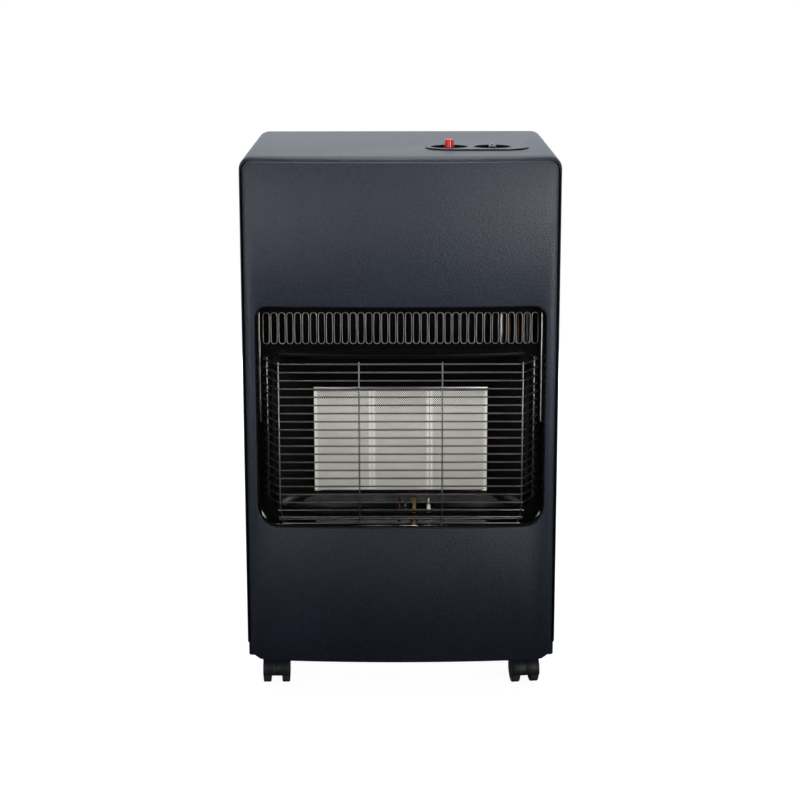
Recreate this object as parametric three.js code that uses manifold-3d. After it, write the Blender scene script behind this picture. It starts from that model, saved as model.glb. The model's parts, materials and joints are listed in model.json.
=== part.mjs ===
// A portable gas cabinet heater: a steel cabinet on four twin-wheel casters. Three ceramic plaques glow
// behind a wire guard in the front, and a gas bottle stands inside behind them. Millimetres, +Z up.
// In the drawing frame y = 0 is the cabinet's front flange and +y runs back towards the bottle.

import * as THREE from 'three';
import { mergeVertices } from 'three/addons/utils/BufferGeometryUtils.js';
import Module from 'manifold-3d';

const wasm = await Module();
wasm.setup();

// ---------------------------------------------------------------- driving dimensions

// Cabinet
const cabinetWidth = 420;
const cabinetDepth = 370;
const cabinetHeight = 736;
const shellSheet = 1.2;
const shellCorner = 17;
const shellBottom = 72;
const frontRoll = 6.5;
const frontFlange = 14;
const rearFlange = 14;
const rearBend = 1.5;
const bowRise = 13;
const fit = 0.3;
const runningGap = 0.1;

// Front panel and its fire opening
const panelSheet = 1.2;
const panelSideReveal = 4.5;
const panelTopReveal = 6.5;
const panelBottom = 49;
const panelTopCorner = 13;
const panelBottomCorner = 21;
const panelEdge = 3;
const panelReturn = 5;
const openingInset = 18;
const openingDrop = 196;
const openingHeight = 300;
const openingTopCorner = 16;
const openingBottomCorner = 26;
const openingEdge = 2.5;
const openingLip = 6;

// Base pan, shield, rear cover
const panUnderside = 54;
const panSheet = 1.5;
const panHeight = 34;
const panCorner = 5;
const panVentLength = 70;
const panVentWidth = 9;
const panVentPitch = 26;
const panVentCount = 5;
const shieldFace = 96;
const shieldSheet = 1;
const shieldDrop = 40;
const shieldRise = 22;
const shieldFlange = 14;
const shieldCorner = 4;
const railDrop = 18;
const railHeight = 28;
const railDepth = 18;
const coverSheet = 1;
const coverDepth = 8;
const coverLap = 7;
const coverBottom = 77;
const coverCorner = 8;
const coverTongueWidth = 34;
const coverTongueDepth = 14;
const coverTongueSpan = 240;
const louvreLength = 110;
const louvreWidth = 6;
const louvrePitch = 18;
const louvreCount = 4;
const louvreSpan = 160;
const louvreBottomInset = 123;
const louvreTopInset = 169;
const stopHeight = 28;
const stopWidth = 250;
const stopFoot = 18;
const stopSheet = 2;
const stopSetBack = 2;

// Fire surround, deflector and reflector
const surroundSheet = 1;
const surroundBack = 18;
const surroundFlange = 3.5;
const surroundClearance = 1;
const surroundStep = 1.6;
const surroundDraft = 3.5;
const surroundBend = 2.5;
const slotMargin = 8;
const slotPitch = 10.5;
const slotWidth = 7.2;
const slotLength = 41;
const slotDrop = 13;
const windowInset = 20;
const windowSill = 12;
const windowHead = 12;
const windowCorner = 14;
const deflectorInset = 7;
const deflectorReach = 17;
const deflectorEnd = 1.5;
const deflectorLip = 5;
const reflectorFlange = 5;
const reflectorDepth = 14;
const reflectorSlope = 5;
const reflectorKnee = { side: 8, sill: 3, head: 12 };
const reflectorFloor = { side: 20, sill: 8, head: 24 };

// Burner
const plaqueWidth = 78;
const plaqueHeight = 146;
const plaqueThickness = 13;
const plaqueFront = 45;
const plaqueSill = 21;
const plaqueEdge = 1.5;
const plaqueRim = 2;
const plaqueCount = 3;
const railLap = 4;
const railSheet = 1.2;
const railTurn = 1.5;
const plenumWall = 1.2;
const plenumDepth = 30;
const plenumOverlap = 4;
const mixerRadius = 12;
const mixerWall = 1.2;
const mixerLength = 30;
const mixerFlare = 2.5;
const mixerFlareHeight = 6;
const manifoldRadius = 6;
const manifoldOverhang = 20;
const injectorRadius = 3.5;
const injectorHeight = 14;
const injectorAirGap = 5;
const injectorSeatWall = 1.5;
const bracketWidth = 26;
const bracketSheet = 1.5;
const bracketFoot = 16;
const bracketSetBack = 4;
const manifoldFoot = 12;

// Pilot light, its bracket stands on the heat shield
const pilotX = 18;
const pilotPitch = 20;
const pilotY = 31;
const pilotRadius = 4;
const thermocoupleRadius = 2.4;
const electrodeRadius = 3;
const pilotDrop = 34;
const pilotRise = 4;
const pilotStem = 10;
const pilotCollar = 2;
const pilotCollarHeight = 4;
const pilotPlateHalf = 9;
const pilotSlotMargin = 3;
const pilotArmClearance = 6;
const pilotPlateMargin = 5;
const pilotBracketSheet = 1.5;
const electrodeStem = 14;
const electrodeTipRadius = 0.9;

// Wire guard
const wireRadius = 1.2;
const wireSides = 6;
const wireCount = 21;
const wirePitch = 11.07;
const guardSill = 4.4;
const guardInset = 9;
const guardSplay = 20;
const guardStandOff = 4;
const guardShortWires = 3;
const guardMiddleX = 55;
const guardCurlHeight = 34;
const guardCurlBack = 15;
const guardCurlIn = 5;
const guardTiePlace = 0.84;
const guardBend = 5;
const guardFootTail = 5;
const weldDepth = 0.5;

// Controls in the top
const bezelX = 103.5;
const bezelY = 108;
const bezelLength = 139;
const bezelWidth = 75;
const bezelThickness = 1.8;
const bezelWall = 1.5;
const wellRadius = 25;
const wellDepth = 20;
const wellSides = 24;
const igniterOffset = -37.5;
const knobOffset = 20.5;
const buttonRadius = 6.2;
const buttonRise = 12;
const buttonTravel = 6;
const buttonGuide = 20;
const igniterRadius = 10;
const igniterLength = 52;
const knobRadius = 21.5;
const knobRise = 4;
const knobTravel = 5;
const knobSkirt = 5;
const knobCap = 2;
const gripWidth = 9;
const gripHeight = 9;
const pointerWidth = 3.2;
const pointerLength = 12;
const pointerThickness = 0.8;
const spindleRadius = 4;
const spindleDepth = 20;
const valveWidth = 34;
const valveDepth = 34;
const valveHeight = 44;
const valveBossRadius = 11;
const valveBossHeight = 15;
const valveCorner = 4;
const valvePortReach = 12;
const hoseTailNut = 6;
const hoseTailBarbs = 3;
const hoseTailLength = 34;
const hoseTailRadius = 4.6;

// Pipes and leads
const burnerPipeRadius = 4;
const pilotPipeRadius = 2;
const thermoLeadRadius = 1.2;
const ignitionLeadRadius = 1.6;
const pipeBend = 8;
const pipeRunY = 72;
const pipeRunOffset = 12;
const pipeRunPitch = 12;
const pipeCrossoverDrop = 47;
const pipeRise = 14;
const burnerPort = { x: -8, y: -8 };
const pilotPort = { x: -8, y: 10 };
const thermoPort = { x: 12, y: 4 };
const pilotLevel = 20;
const thermoLevel = -8;
const ignitionLevel = -28;
const thermoDip = 32;
const pilotDip = 27;
const ignitionDip = 22;
const leadBend = 5;

// Casters
const casterInset = 37;
const casterFrontY = 30;
const casterRearInset = 62;
const casterTurn = 8;
const wheelRadius = 20;
const wheelWidth = 10;
const wheelChamfer = 2;
const wheelGap = 16;
const wheelSides = 16;
const casterTrail = 14;
const hoodSheet = 2.2;
const hoodClearance = 1.2;
const hoodFrontAngle = 10;
const hoodRearAngle = 25;
const webAngle = 10;
const webClearance = 0.5;
const axleRadius = 2.5;
const axleSides = 8;
const stemSides = 10;
const stemRadius = 4;
const stemBossRadius = 9;
const stemBossHeight = 13;
const casterPlate = 42;
const casterPlateSheet = 2;

// ---------------------------------------------------------------- places worked out from them

const halfWidth = cabinetWidth / 2;
const innerHalf = halfWidth - shellSheet - fit;
const panelHalf = halfWidth - panelSideReveal;
const panelTop = cabinetHeight - panelTopReveal;
const panelFace = -fit - panelReturn;
const openingHalf = halfWidth - openingInset;
const openingTop = cabinetHeight - openingDrop;
const openingBottom = openingTop - openingHeight;
const slotTop = openingTop - slotDrop;
const slotBottom = slotTop - slotLength;
const slotCount = Math.floor((2 * (openingHalf - slotMargin) + slotPitch - slotWidth) / slotPitch);
const windowHalf = openingHalf - windowInset;
const windowTop = slotBottom - windowHead;
const windowBottom = openingBottom + windowSill;
const shieldBottom = openingBottom - shieldDrop;
const shieldTop = openingTop + shieldRise;
const guardFront = panelFace - bowRise - guardStandOff;
const guardBottom = openingBottom + guardSill;
const guardHalfFront = windowHalf - guardInset;
const coverTop = cabinetHeight - coverLap;
const rearPlane = cabinetDepth + fit + coverDepth;
const panFloor = panUnderside + panSheet;
const railTop = cabinetHeight - railDrop;
const plaquePitch = plaqueWidth + fit;
const plaqueBottom = windowBottom + plaqueSill;
const plaqueTop = plaqueBottom + plaqueHeight;
const burnerHalf = (plaqueCount * plaquePitch) / 2 + fit;
const plenumFront = plaqueFront + plaqueThickness - plenumOverlap;
const plenumBack = plenumFront + plenumDepth;
const mixerMouth = plaqueBottom - mixerLength;
const mixerY = plenumFront + plenumDepth / 2;
const injectorBase = mixerMouth - injectorAirGap - injectorHeight;
const manifoldZ = injectorBase - fit - manifoldRadius;
const wellFloor = cabinetHeight - wellDepth;
const wellUnderside = wellFloor - bezelWall;
const controlSeat = wellUnderside - fit;
const pilotTop = plaqueBottom - pilotRise;
const pilotPlateZ = pilotTop - pilotDrop;
const valveBottom = controlSeat - valveBossHeight - valveHeight;
const igniterX = bezelX + igniterOffset;
const knobX = bezelX + knobOffset;
const pipeRunX = knobX + pipeRunOffset;
const pipeCrossover = valveBottom - pipeCrossoverDrop;
const casterX = halfWidth - casterInset;

const bow = (x) => bowRise * (1 - (x / halfWidth) ** 2);

// ---------------------------------------------------------------- finishes

const finish = (color, roughness, metalness) => (
  new THREE.MeshStandardMaterial({ color, roughness, metalness })
);
const finishes = {
  paint: () => finish(0x3a424d, 0.55, 0.1),
  enamel: () => finish(0x0b0a0a, 0.15, 0.1),
  wire: () => finish(0xc9c9c6, 0.25, 1),
  steel: () => finish(0x8e9193, 0.4, 1),
  zinc: () => finish(0xa7aaad, 0.45, 1),
  brass: () => finish(0xb3924e, 0.35, 1),
  copper: () => finish(0xb1724a, 0.35, 1),
  ceramic: () => finish(0xdcdacf, 0.9, 0),
  porcelain: () => finish(0xeeece4, 0.4, 0),
  blackPlastic: () => finish(0x17181a, 0.5, 0),
  redPlastic: () => finish(0xc31f1f, 0.35, 0),
  pointer: () => finish(0xa9a08c, 0.5, 0),
  tread: () => finish(0x34363a, 0.75, 0),
  leadCover: () => finish(0x8c8f93, 0.6, 0),
};

// ---------------------------------------------------------------- geometry helpers

const degrees = THREE.MathUtils.degToRad;
const at = (x, y, z) => new THREE.Vector3(x, y, z);

// Turns a closed mesh the right way out when its faces point inwards.
function outward(geometry) {
  const position = geometry.getAttribute('position');
  const index = geometry.getIndex();
  const [a, b, c] = [at(), at(), at()];
  let volume = 0;
  for (let i = 0; i < index.count; i += 3) {
    a.fromBufferAttribute(position, index.getX(i));
    b.fromBufferAttribute(position, index.getX(i + 1));
    c.fromBufferAttribute(position, index.getX(i + 2));
    volume += a.dot(b.cross(c));
  }
  if (volume < 0) {
    for (let i = 0; i < index.count; i += 3) {
      const second = index.getX(i + 1);
      index.setX(i + 1, index.getX(i + 2));
      index.setX(i + 2, second);
    }
  }
  return geometry;
}

// Skins a row of sections that have the same number of points. With a cap outline the row has two ends,
// without one it runs round to its start.
function loft(sections, cap) {
  const ring = sections[0].length;
  const geometry = new THREE.BufferGeometry();
  geometry.setFromPoints(sections.flat());
  const index = [];
  const spans = cap ? sections.length - 1 : sections.length;
  for (let i = 0; i < spans; i += 1) {
    const here = i * ring;
    const next = ((i + 1) % sections.length) * ring;
    for (let j = 0; j < ring; j += 1) {
      const k = (j + 1) % ring;
      index.push(here + j, here + k, next + k, here + j, next + k, next + j);
    }
  }
  if (cap) {
    const last = (sections.length - 1) * ring;
    const clockwise = THREE.ShapeUtils.isClockWise(cap);
    for (const [p, q, r] of THREE.ShapeUtils.triangulateShape(cap, [])) {
      const [second, third] = clockwise ? [q, r] : [r, q];
      index.push(p, second, third, last + p, last + third, last + second);
    }
  }
  geometry.setIndex(index);
  return outward(geometry);
}

function solid(geometry) {
  const bare = geometry.clone();
  bare.deleteAttribute('normal');
  bare.deleteAttribute('uv');
  const merged = mergeVertices(bare, 1e-4);
  const vertProperties = new Float32Array(merged.getAttribute('position').array);
  const triVerts = new Uint32Array(merged.getIndex().array);
  return new wasm.Manifold(new wasm.Mesh({ numProp: 3, vertProperties, triVerts }));
}

// Corners that lie within a hundredth of a millimetre of a flat or a straight edge are dropped.
function geometryOf(body) {
  const mesh = body.simplify(0.01).getMesh();
  const geometry = new THREE.BufferGeometry();
  geometry.setAttribute('position', new THREE.BufferAttribute(mesh.vertProperties, 3));
  geometry.setIndex(new THREE.BufferAttribute(mesh.triVerts, 1));
  return geometry;
}

const join = (...geometries) => geometryOf(geometries.map(solid).reduce((sum, next) => sum.add(next)));
const cut = (geometry, ...tools) => geometryOf(
  tools.map(solid).reduce((rest, tool) => rest.subtract(tool), solid(geometry)),
);

// Extrudes an outline along +z. Each curve in it gets the stated number of segments.
const extruded = (shape, depth, curveSegments) => (
  new THREE.ExtrudeGeometry(shape, { depth, bevelEnabled: false, curveSegments })
);

// Extrudes an outline drawn in x and z from one y to another.
function slabY(shape, from, to, curveSegments = 1) {
  return extruded(shape, to - from, curveSegments).rotateX(Math.PI / 2).translate(0, to, 0);
}

// Extrudes an outline drawn in y and z from one x to another.
function slabX(shape, from, to, curveSegments = 3) {
  const axes = new THREE.Matrix4().makeBasis(at(0, 1, 0), at(0, 0, 1), at(1, 0, 0));
  return extruded(shape, to - from, curveSegments).applyMatrix4(axes).translate(from, 0, 0);
}

// Extrudes an outline drawn in x and y from one z to another.
function slabZ(shape, from, to, curveSegments = 1) {
  return extruded(shape, to - from, curveSegments).translate(0, 0, from);
}

function rectangle(left, low, right, high, radius = 0) {
  const shape = new THREE.Shape();
  if (radius === 0) {
    shape.moveTo(left, low).lineTo(right, low).lineTo(right, high).lineTo(left, high).closePath();
    return shape;
  }
  const quarter = Math.PI / 2;
  shape.absarc(right - radius, low + radius, radius, -quarter, 0);
  shape.absarc(right - radius, high - radius, radius, 0, quarter);
  shape.absarc(left + radius, high - radius, radius, quarter, 2 * quarter);
  shape.absarc(left + radius, low + radius, radius, 2 * quarter, 3 * quarter);
  return shape.closePath();
}

function box(left, front, low, right, back, high) {
  return slabY(rectangle(left, low, right, high), front, back);
}

// A folded tray in the x-z plane: a plate at the back with a flange all round that reaches forwards.
function tray(left, low, right, high, corner, front, back, sheet) {
  const outer = slabY(rectangle(left, low, right, high, corner), front, back);
  const inside = rectangle(left + sheet, low + sheet, right - sheet, high - sheet, corner - sheet);
  return cut(outer, slabY(inside, front - 1, back - sheet));
}

function polygon(radius, sides, turn = 0) {
  const points = [];
  for (let i = 0; i < sides; i += 1) {
    const angle = turn + (i * 2 * Math.PI) / sides;
    points.push(new THREE.Vector2(radius * Math.cos(angle), radius * Math.sin(angle)));
  }
  return points;
}

function rod(radius, low, high, sides = 12) {
  return slabZ(new THREE.Shape(polygon(radius, sides)), low, high);
}

// Turns a profile of [radius, height] pairs round the z axis.
function turned(profile, sides) {
  const points = profile.map(([radius, height]) => new THREE.Vector2(radius, height));
  return outward(welded(new THREE.LatheGeometry(points, sides).rotateX(Math.PI / 2)));
}

function welded(geometry) {
  geometry.deleteAttribute('normal');
  geometry.deleteAttribute('uv');
  return mergeVertices(geometry, 1e-4);
}

// A route through given stations. A tube takes one ring of its section at each of them.
class Route extends THREE.Curve {
  constructor(stations) {
    super();
    this.stations = stations;
  }

  getPointAt(share) {
    return this.stations[this.indexAt(share)].clone();
  }

  getTangentAt(share) {
    const i = this.indexAt(share);
    const here = this.stations[i];
    const before = this.stations[i - 1];
    const after = this.stations[i + 1];
    const tangent = at(0, 0, 0);
    if (before) tangent.add(here.clone().sub(before).normalize());
    if (after) tangent.add(after.clone().sub(here).normalize());
    return tangent.normalize();
  }

  indexAt(share) {
    return Math.round(share * (this.stations.length - 1));
  }
}

// Rounds the inner corners of a path with arcs of one radius.
function filleted(corners, radius, steps) {
  const stations = [corners[0]];
  for (let i = 1; i < corners.length - 1; i += 1) {
    const into = corners[i].clone().sub(corners[i - 1]).normalize();
    const out = corners[i + 1].clone().sub(corners[i]).normalize();
    const angle = into.angleTo(out);
    const start = corners[i].clone().addScaledVector(into, -radius * Math.tan(angle / 2));
    const side = out.clone().addScaledVector(into, -into.dot(out)).normalize();
    for (let k = 0; k <= steps; k += 1) {
      const turn = (angle * k) / steps;
      const point = start.clone().addScaledVector(into, radius * Math.sin(turn));
      stations.push(point.addScaledVector(side, radius * (1 - Math.cos(turn))));
    }
  }
  stations.push(corners[corners.length - 1]);
  return stations;
}

function tube(stations, radius, sides, turn = 0) {
  const shape = new THREE.Shape(polygon(radius, sides, turn));
  const extrudePath = new Route(stations);
  return new THREE.ExtrudeGeometry(shape, { steps: stations.length - 1, extrudePath });
}

// Points round an upright rounded rectangle in x and z, each with its outward normal. Every outline with
// the same step counts has its points in the same order, so outlines of different size can be lofted.
function outline(half, low, high, lowCorner, highCorner, cornerSteps, runSteps, sideSteps) {
  const stations = [];
  const corner = (x, z, radius, from) => {
    for (let k = 0; k <= cornerSteps; k += 1) {
      const angle = degrees(from + (90 * k) / cornerSteps);
      const normal = new THREE.Vector2(Math.cos(angle), Math.sin(angle));
      stations.push({ x: x + radius * normal.x, z: z + radius * normal.y, normal });
    }
  };
  const run = (x0, z0, x1, z1, steps, normal) => {
    for (let k = 1; k < steps; k += 1) {
      const share = k / steps;
      stations.push({ x: x0 + (x1 - x0) * share, z: z0 + (z1 - z0) * share, normal });
    }
  };
  corner(half - highCorner, high - highCorner, highCorner, 0);
  run(half - highCorner, high, highCorner - half, high, runSteps, new THREE.Vector2(0, 1));
  corner(highCorner - half, high - highCorner, highCorner, 90);
  run(-half, high - highCorner, -half, low + lowCorner, sideSteps, new THREE.Vector2(-1, 0));
  corner(lowCorner - half, low + lowCorner, lowCorner, 180);
  run(lowCorner - half, low, half - lowCorner, low, runSteps, new THREE.Vector2(0, -1));
  corner(half - lowCorner, low + lowCorner, lowCorner, 270);
  run(half, low + lowCorner, half, high - highCorner, sideSteps, new THREE.Vector2(1, 0));
  return stations;
}

// A point at a distance outside an outline's station. Its share of the cabinet's bow moves it forwards.
function beside(station, outset, y, bowShare) {
  const x = station.x + station.normal.x * outset;
  return at(x, y - bowShare * bow(x), station.z + station.normal.y * outset);
}

function obround(centreX, centreY, halfLength, radius) {
  const shape = new THREE.Shape();
  shape.absarc(centreX + halfLength, centreY, radius, -Math.PI / 2, Math.PI / 2);
  shape.absarc(centreX - halfLength, centreY, radius, Math.PI / 2, 1.5 * Math.PI);
  return shape.closePath();
}

function uprightSlot(x, low, high, width) {
  const radius = width / 2;
  const shape = new THREE.Shape();
  shape.absarc(x, high - radius, radius, 0, Math.PI);
  shape.absarc(x, low + radius, radius, Math.PI, 2 * Math.PI);
  return shape.closePath();
}

// The corner radius of a polygon whose flats clear a round of this radius.
const across = (radius, sides) => radius / Math.cos(Math.PI / sides);

// Places for a row of copies, centred on zero.
const spread = (count, pitch) => Array.from({ length: count }, (_, i) => (i - (count - 1) / 2) * pitch);

// ---------------------------------------------------------------- cabinet

// The section of the wrap: [outset from the outer face, y, share of the bow], round the sheet.
function shellSection() {
  const steps = 3;
  const arc = (radius, outset, y) => Array.from({ length: steps + 1 }, (_, k) => {
    const angle = (k * Math.PI) / 2 / steps;
    return [outset - radius * (1 - Math.cos(angle)), y + radius * (1 - Math.sin(angle)), Math.sin(angle)];
  });
  const outer = [
    [-rearFlange, cabinetDepth, 0],
    [-rearBend, cabinetDepth, 0],
    [0, cabinetDepth - rearBend, 0],
    ...arc(frontRoll, 0, 0),
    [-frontFlange, 0, 1],
  ];
  const inner = [
    [-frontFlange, shellSheet, 1],
    ...arc(frontRoll - shellSheet, -shellSheet, shellSheet).reverse(),
    [-shellSheet, cabinetDepth - shellSheet, 0],
    [-rearFlange, cabinetDepth - shellSheet, 0],
  ];
  return [...outer, ...inner];
}

// One sheet bent over the left side, the top and the right side. Its front edge is rolled in, and over
// the top that edge runs out to the bow of the front panel.
function sideAndTopShell() {
  const section = shellSection();
  const spine = [{ x: halfWidth, z: shellBottom, normal: new THREE.Vector2(1, 0) }];
  const cornerSteps = 6;
  const topSteps = 12;
  const whole = outline(halfWidth, shellBottom, cabinetHeight, 1, shellCorner, cornerSteps, topSteps, 2);
  const overTheTop = 2 * (cornerSteps + 1) + topSteps - 1;
  spine.push(...whole.slice(0, overTheTop));
  spine.push({ x: -halfWidth, z: shellBottom, normal: new THREE.Vector2(-1, 0) });
  const sections = spine.map((station) => (
    section.map(([outset, y, share]) => beside(station, outset, y, share))
  ));
  const cap = section.map(([outset, y]) => new THREE.Vector2(outset, y));
  const wrap = loft(sections, cap);
  const holeHalf = (knobX - igniterX) / 2;
  const holeRadius = wellRadius + bezelWall + fit;
  const outlet = obround((knobX + igniterX) / 2, bezelY, holeHalf, across(holeRadius, wellSides));
  const hole = slabZ(outlet, cabinetHeight - shellCorner, cabinetHeight + 1, wellSides / 4);
  return cut(wrap, hole);
}

// The bowed front sheet, with a rounded return round its outside and a rounded lip round the fire opening.
function frontPanel() {
  const steps = [4, 10, 2];
  const outside = outline(panelHalf, panelBottom, panelTop, panelBottomCorner, panelTopCorner, ...steps);
  const inside = outline(
    openingHalf, openingBottom, openingTop, openingBottomCorner, openingTopCorner, ...steps);
  const skin = (depth, arcSteps) => {
    const face = panelFace + depth;
    const rows = [[0, -depth, -fit]];
    const edge = panelEdge - depth;
    const lip = openingEdge - depth;
    for (let k = 0; k <= arcSteps; k += 1) {
      const angle = (k * Math.PI) / 2 / arcSteps;
      rows.push([0, -depth - edge * (1 - Math.cos(angle)), face + edge * (1 - Math.sin(angle))]);
    }
    rows.push([0.5, 0, face]);
    for (let k = arcSteps; k >= 0; k -= 1) {
      const angle = (k * Math.PI) / 2 / arcSteps;
      rows.push([1, depth + lip * (1 - Math.cos(angle)), face + lip * (1 - Math.sin(angle))]);
    }
    rows.push([1, depth, panelFace + openingLip]);
    return rows;
  };
  const section = [...skin(0, 2), ...skin(panelSheet, 1).reverse()];
  const sections = outside.map((outer, i) => section.map(([share, outset, y]) => {
    if (share === 0) return beside(outer, outset, y, 1);
    if (share === 1) return beside(inside[i], outset, y, 1);
    const from = beside(outer, -panelEdge, 0, 0);
    const to = beside(inside[i], openingEdge, 0, 0);
    const point = from.lerp(to, share);
    return at(point.x, y - bow(point.x), point.z);
  }));
  return geometryOf(solid(loft(sections)));
}

function basePan() {
  const front = shellSheet + fit;
  const back = cabinetDepth - shellSheet - fit;
  const rim = panUnderside + panHeight;
  const outer = slabZ(rectangle(-innerHalf, front, innerHalf, back, panCorner), panUnderside, rim);
  const inside = rectangle(
    -innerHalf + panSheet, front + panSheet, innerHalf - panSheet, back - panSheet, panCorner - panSheet);
  const hollow = slabZ(inside, panFloor, rim + 1);
  const vents = spread(panVentCount, panVentPitch).map((shift) => {
    const slot = obround(0, cabinetDepth / 2 + shift, (panVentLength - panVentWidth) / 2, panVentWidth / 2);
    return slabZ(slot, panUnderside - 1, panFloor + 1, 1.5);
  });
  return cut(outer, hollow, ...vents);
}

// The rail across the top of the rear opening: an angle with its upright leg behind the rear flange.
function rearTopRail() {
  const back = cabinetDepth - shellSheet - fit;
  const low = railTop - railHeight;
  const shape = new THREE.Shape();
  shape.moveTo(back - railDepth, low).lineTo(back, low).lineTo(back, railTop);
  shape.lineTo(back - shellSheet, railTop).lineTo(back - shellSheet, low + shellSheet);
  shape.lineTo(back - railDepth, low + shellSheet).closePath();
  return slabX(shape, -innerHalf, innerHalf);
}

// The bulkhead between the fire and the bottle: a tray whose flanges reach forwards.
function heatShield() {
  const front = shieldFace - shieldFlange;
  return tray(-innerHalf, shieldBottom, innerHalf, shieldTop, shieldCorner, front, shieldFace, shieldSheet);
}

function bottleStop() {
  const front = shieldFace + stopSetBack;
  const shape = new THREE.Shape();
  const foot = panFloor + fit;
  shape.moveTo(front, foot).lineTo(front + stopFoot, foot).lineTo(front + stopFoot, foot + stopSheet);
  shape.lineTo(front + stopSheet, foot + stopSheet).lineTo(front + stopSheet, foot + stopHeight);
  shape.lineTo(front, foot + stopHeight).closePath();
  return slabX(shape, -stopWidth / 2, stopWidth / 2);
}

// The rear cover is a shallow tray with two rows of vents. Two tongues at the foot stand on the base
// pan's rear edge, and two at the head slide under the rear rail.
function rearCover() {
  const half = halfWidth - coverLap;
  const front = cabinetDepth + fit;
  const plate = tray(-half, coverBottom, half, coverTop, coverCorner, front, rearPlane, coverSheet);
  const rows = [coverBottom + louvreBottomInset, coverTop - louvreTopInset];
  const slots = rows.flatMap((row) => spread(louvreCount, louvrePitch).flatMap((shift) => (
    [-louvreSpan / 2, louvreSpan / 2].map((x) => {
      const slot = obround(x, row + shift, (louvreLength - louvreWidth) / 2, louvreWidth / 2);
      return slabY(slot, rearPlane - coverSheet - 1, rearPlane + 1, 1.5);
    })
  )));
  const tongueBack = rearPlane - coverSheet / 2;
  const heights = [panUnderside + panHeight + fit, railTop - railHeight - fit - coverSheet];
  const tongueFront = front - coverTongueDepth;
  const wide = coverTongueWidth / 2;
  const tongues = heights.flatMap((low) => [-coverTongueSpan / 2, coverTongueSpan / 2].map((x) => (
    box(x - wide, tongueFront, low, x + wide, tongueBack, low + coverSheet)
  )));
  return join(cut(plate, ...slots), ...tongues);
}

// ---------------------------------------------------------------- fire surround, deflector, reflector

// A pressed pan behind the opening: a bowed flange against the panel's lip, a wall with a little draft,
// and a flat back with the outlet slots above the window for the reflector.
function fireSurround() {
  const steps = [4, 8, 2];
  const wall = outline(
    openingHalf, openingBottom, openingTop, openingBottomCorner, openingTopCorner, ...steps);
  const window = outline(windowHalf, windowBottom, windowTop, windowCorner, windowCorner, ...steps);
  const flangeY = panelFace + openingLip + fit;
  const skin = (depth) => [
    [0, surroundFlange, flangeY + depth, 1],
    [0, depth, flangeY + depth, 1],
    [0, depth - 2 * surroundClearance, flangeY + surroundStep + depth * 0.5, 1],
    [0, depth - surroundDraft, surroundBack - surroundDraft + depth * 0.5, 0],
    [0, depth - surroundDraft - surroundBend, surroundBack + depth, 0],
    [1, 0, surroundBack + depth, 0],
  ];
  const section = [...skin(0), ...skin(surroundSheet).reverse()];
  const sections = wall.map((station, i) => section.map(([share, outset, y, bowShare]) => (
    beside(share === 0 ? station : window[i], outset, y, bowShare)
  )));
  const from = surroundBack - 1;
  const to = surroundBack + surroundSheet + 1;
  const slots = spread(slotCount, slotPitch).map((x) => (
    slabY(uprightSlot(x, slotBottom, slotTop, slotWidth), from, to, 1.5)
  ));
  return cut(loft(sections), ...slots);
}

// A curved hood over the window that keeps the hot air off the outlet slots' lower edge.
function heatDeflector() {
  const half = windowHalf - deflectorInset;
  const back = surroundBack - fit;
  const steps = 12;
  const bulge = deflectorReach - deflectorEnd;
  const reach = (x, inset) => back - deflectorEnd - bulge * (1 - (x / half) ** 2) + inset;
  const edge = (inset) => Array.from({ length: steps + 1 }, (_, k) => {
    const x = -half + (2 * half * k) / steps;
    return new THREE.Vector2(x, Math.min(reach(x, inset), back));
  });
  const plate = new THREE.Shape([...edge(0), new THREE.Vector2(half, back), new THREE.Vector2(-half, back)]);
  const lip = new THREE.Shape([...edge(0), ...edge(surroundSheet).reverse()]);
  return join(
    slabZ(plate, windowTop - surroundSheet, windowTop),
    slabZ(lip, windowTop - deflectorLip, windowTop - surroundSheet / 2),
  );
}

// The drawn bowl round the plaques, with a slot in its floor for the pilot light.
function reflector() {
  const steps = [3, 4, 2];
  const front = surroundBack + surroundSheet + fit;
  const deep = front + reflectorDepth;
  const half = windowHalf;
  const ring = ({ side, sill, head }) => (
    outline(half - side, windowBottom + sill, windowTop - head, windowCorner, windowCorner, ...steps)
  );
  const mouth = ring({ side: 0, sill: 0, head: 0 });
  const knee = ring(reflectorKnee);
  const floor = ring(reflectorFloor);
  const burner = outline(
    burnerHalf, plaqueBottom - fit, plaqueTop + fit, plaqueEdge, plaqueEdge, ...steps);
  const skin = (depth) => [
    [mouth, reflectorFlange, front + depth],
    [mouth, depth, front + depth],
    [knee, depth * 0.8, deep + depth * 0.3],
    [floor, depth * 0.5, deep + reflectorSlope + depth * 0.7],
    [burner, plaqueRim, plaqueFront + 2 + depth],
    [burner, 0, plaqueFront + 2 + depth],
  ];
  const section = [...skin(0), ...skin(surroundSheet).reverse()];
  const sections = mouth.map((_, i) => section.map(([row, outset, y]) => beside(row[i], outset, y, 0)));
  const long = pilotPitch + electrodeRadius + pilotSlotMargin;
  const wide = pilotRadius + pilotSlotMargin;
  const slot = box(
    pilotX - long, pilotY - wide, pilotPlateZ, pilotX + long, pilotY + wide, plaqueBottom - 1);
  return cut(loft(sections), slot);
}

// ---------------------------------------------------------------- burner

// A ceramic plaque: a plain rim round a field that stands a little proud.
function plaque() {
  const half = plaqueWidth / 2;
  const block = slabY(rectangle(-half, 0, half, plaqueHeight, plaqueEdge), 1, plaqueThickness);
  const field = slabY(
    rectangle(plaqueRim - half, plaqueRim, half - plaqueRim, plaqueHeight - plaqueRim), 0, 2);
  return join(block, field);
}

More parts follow.
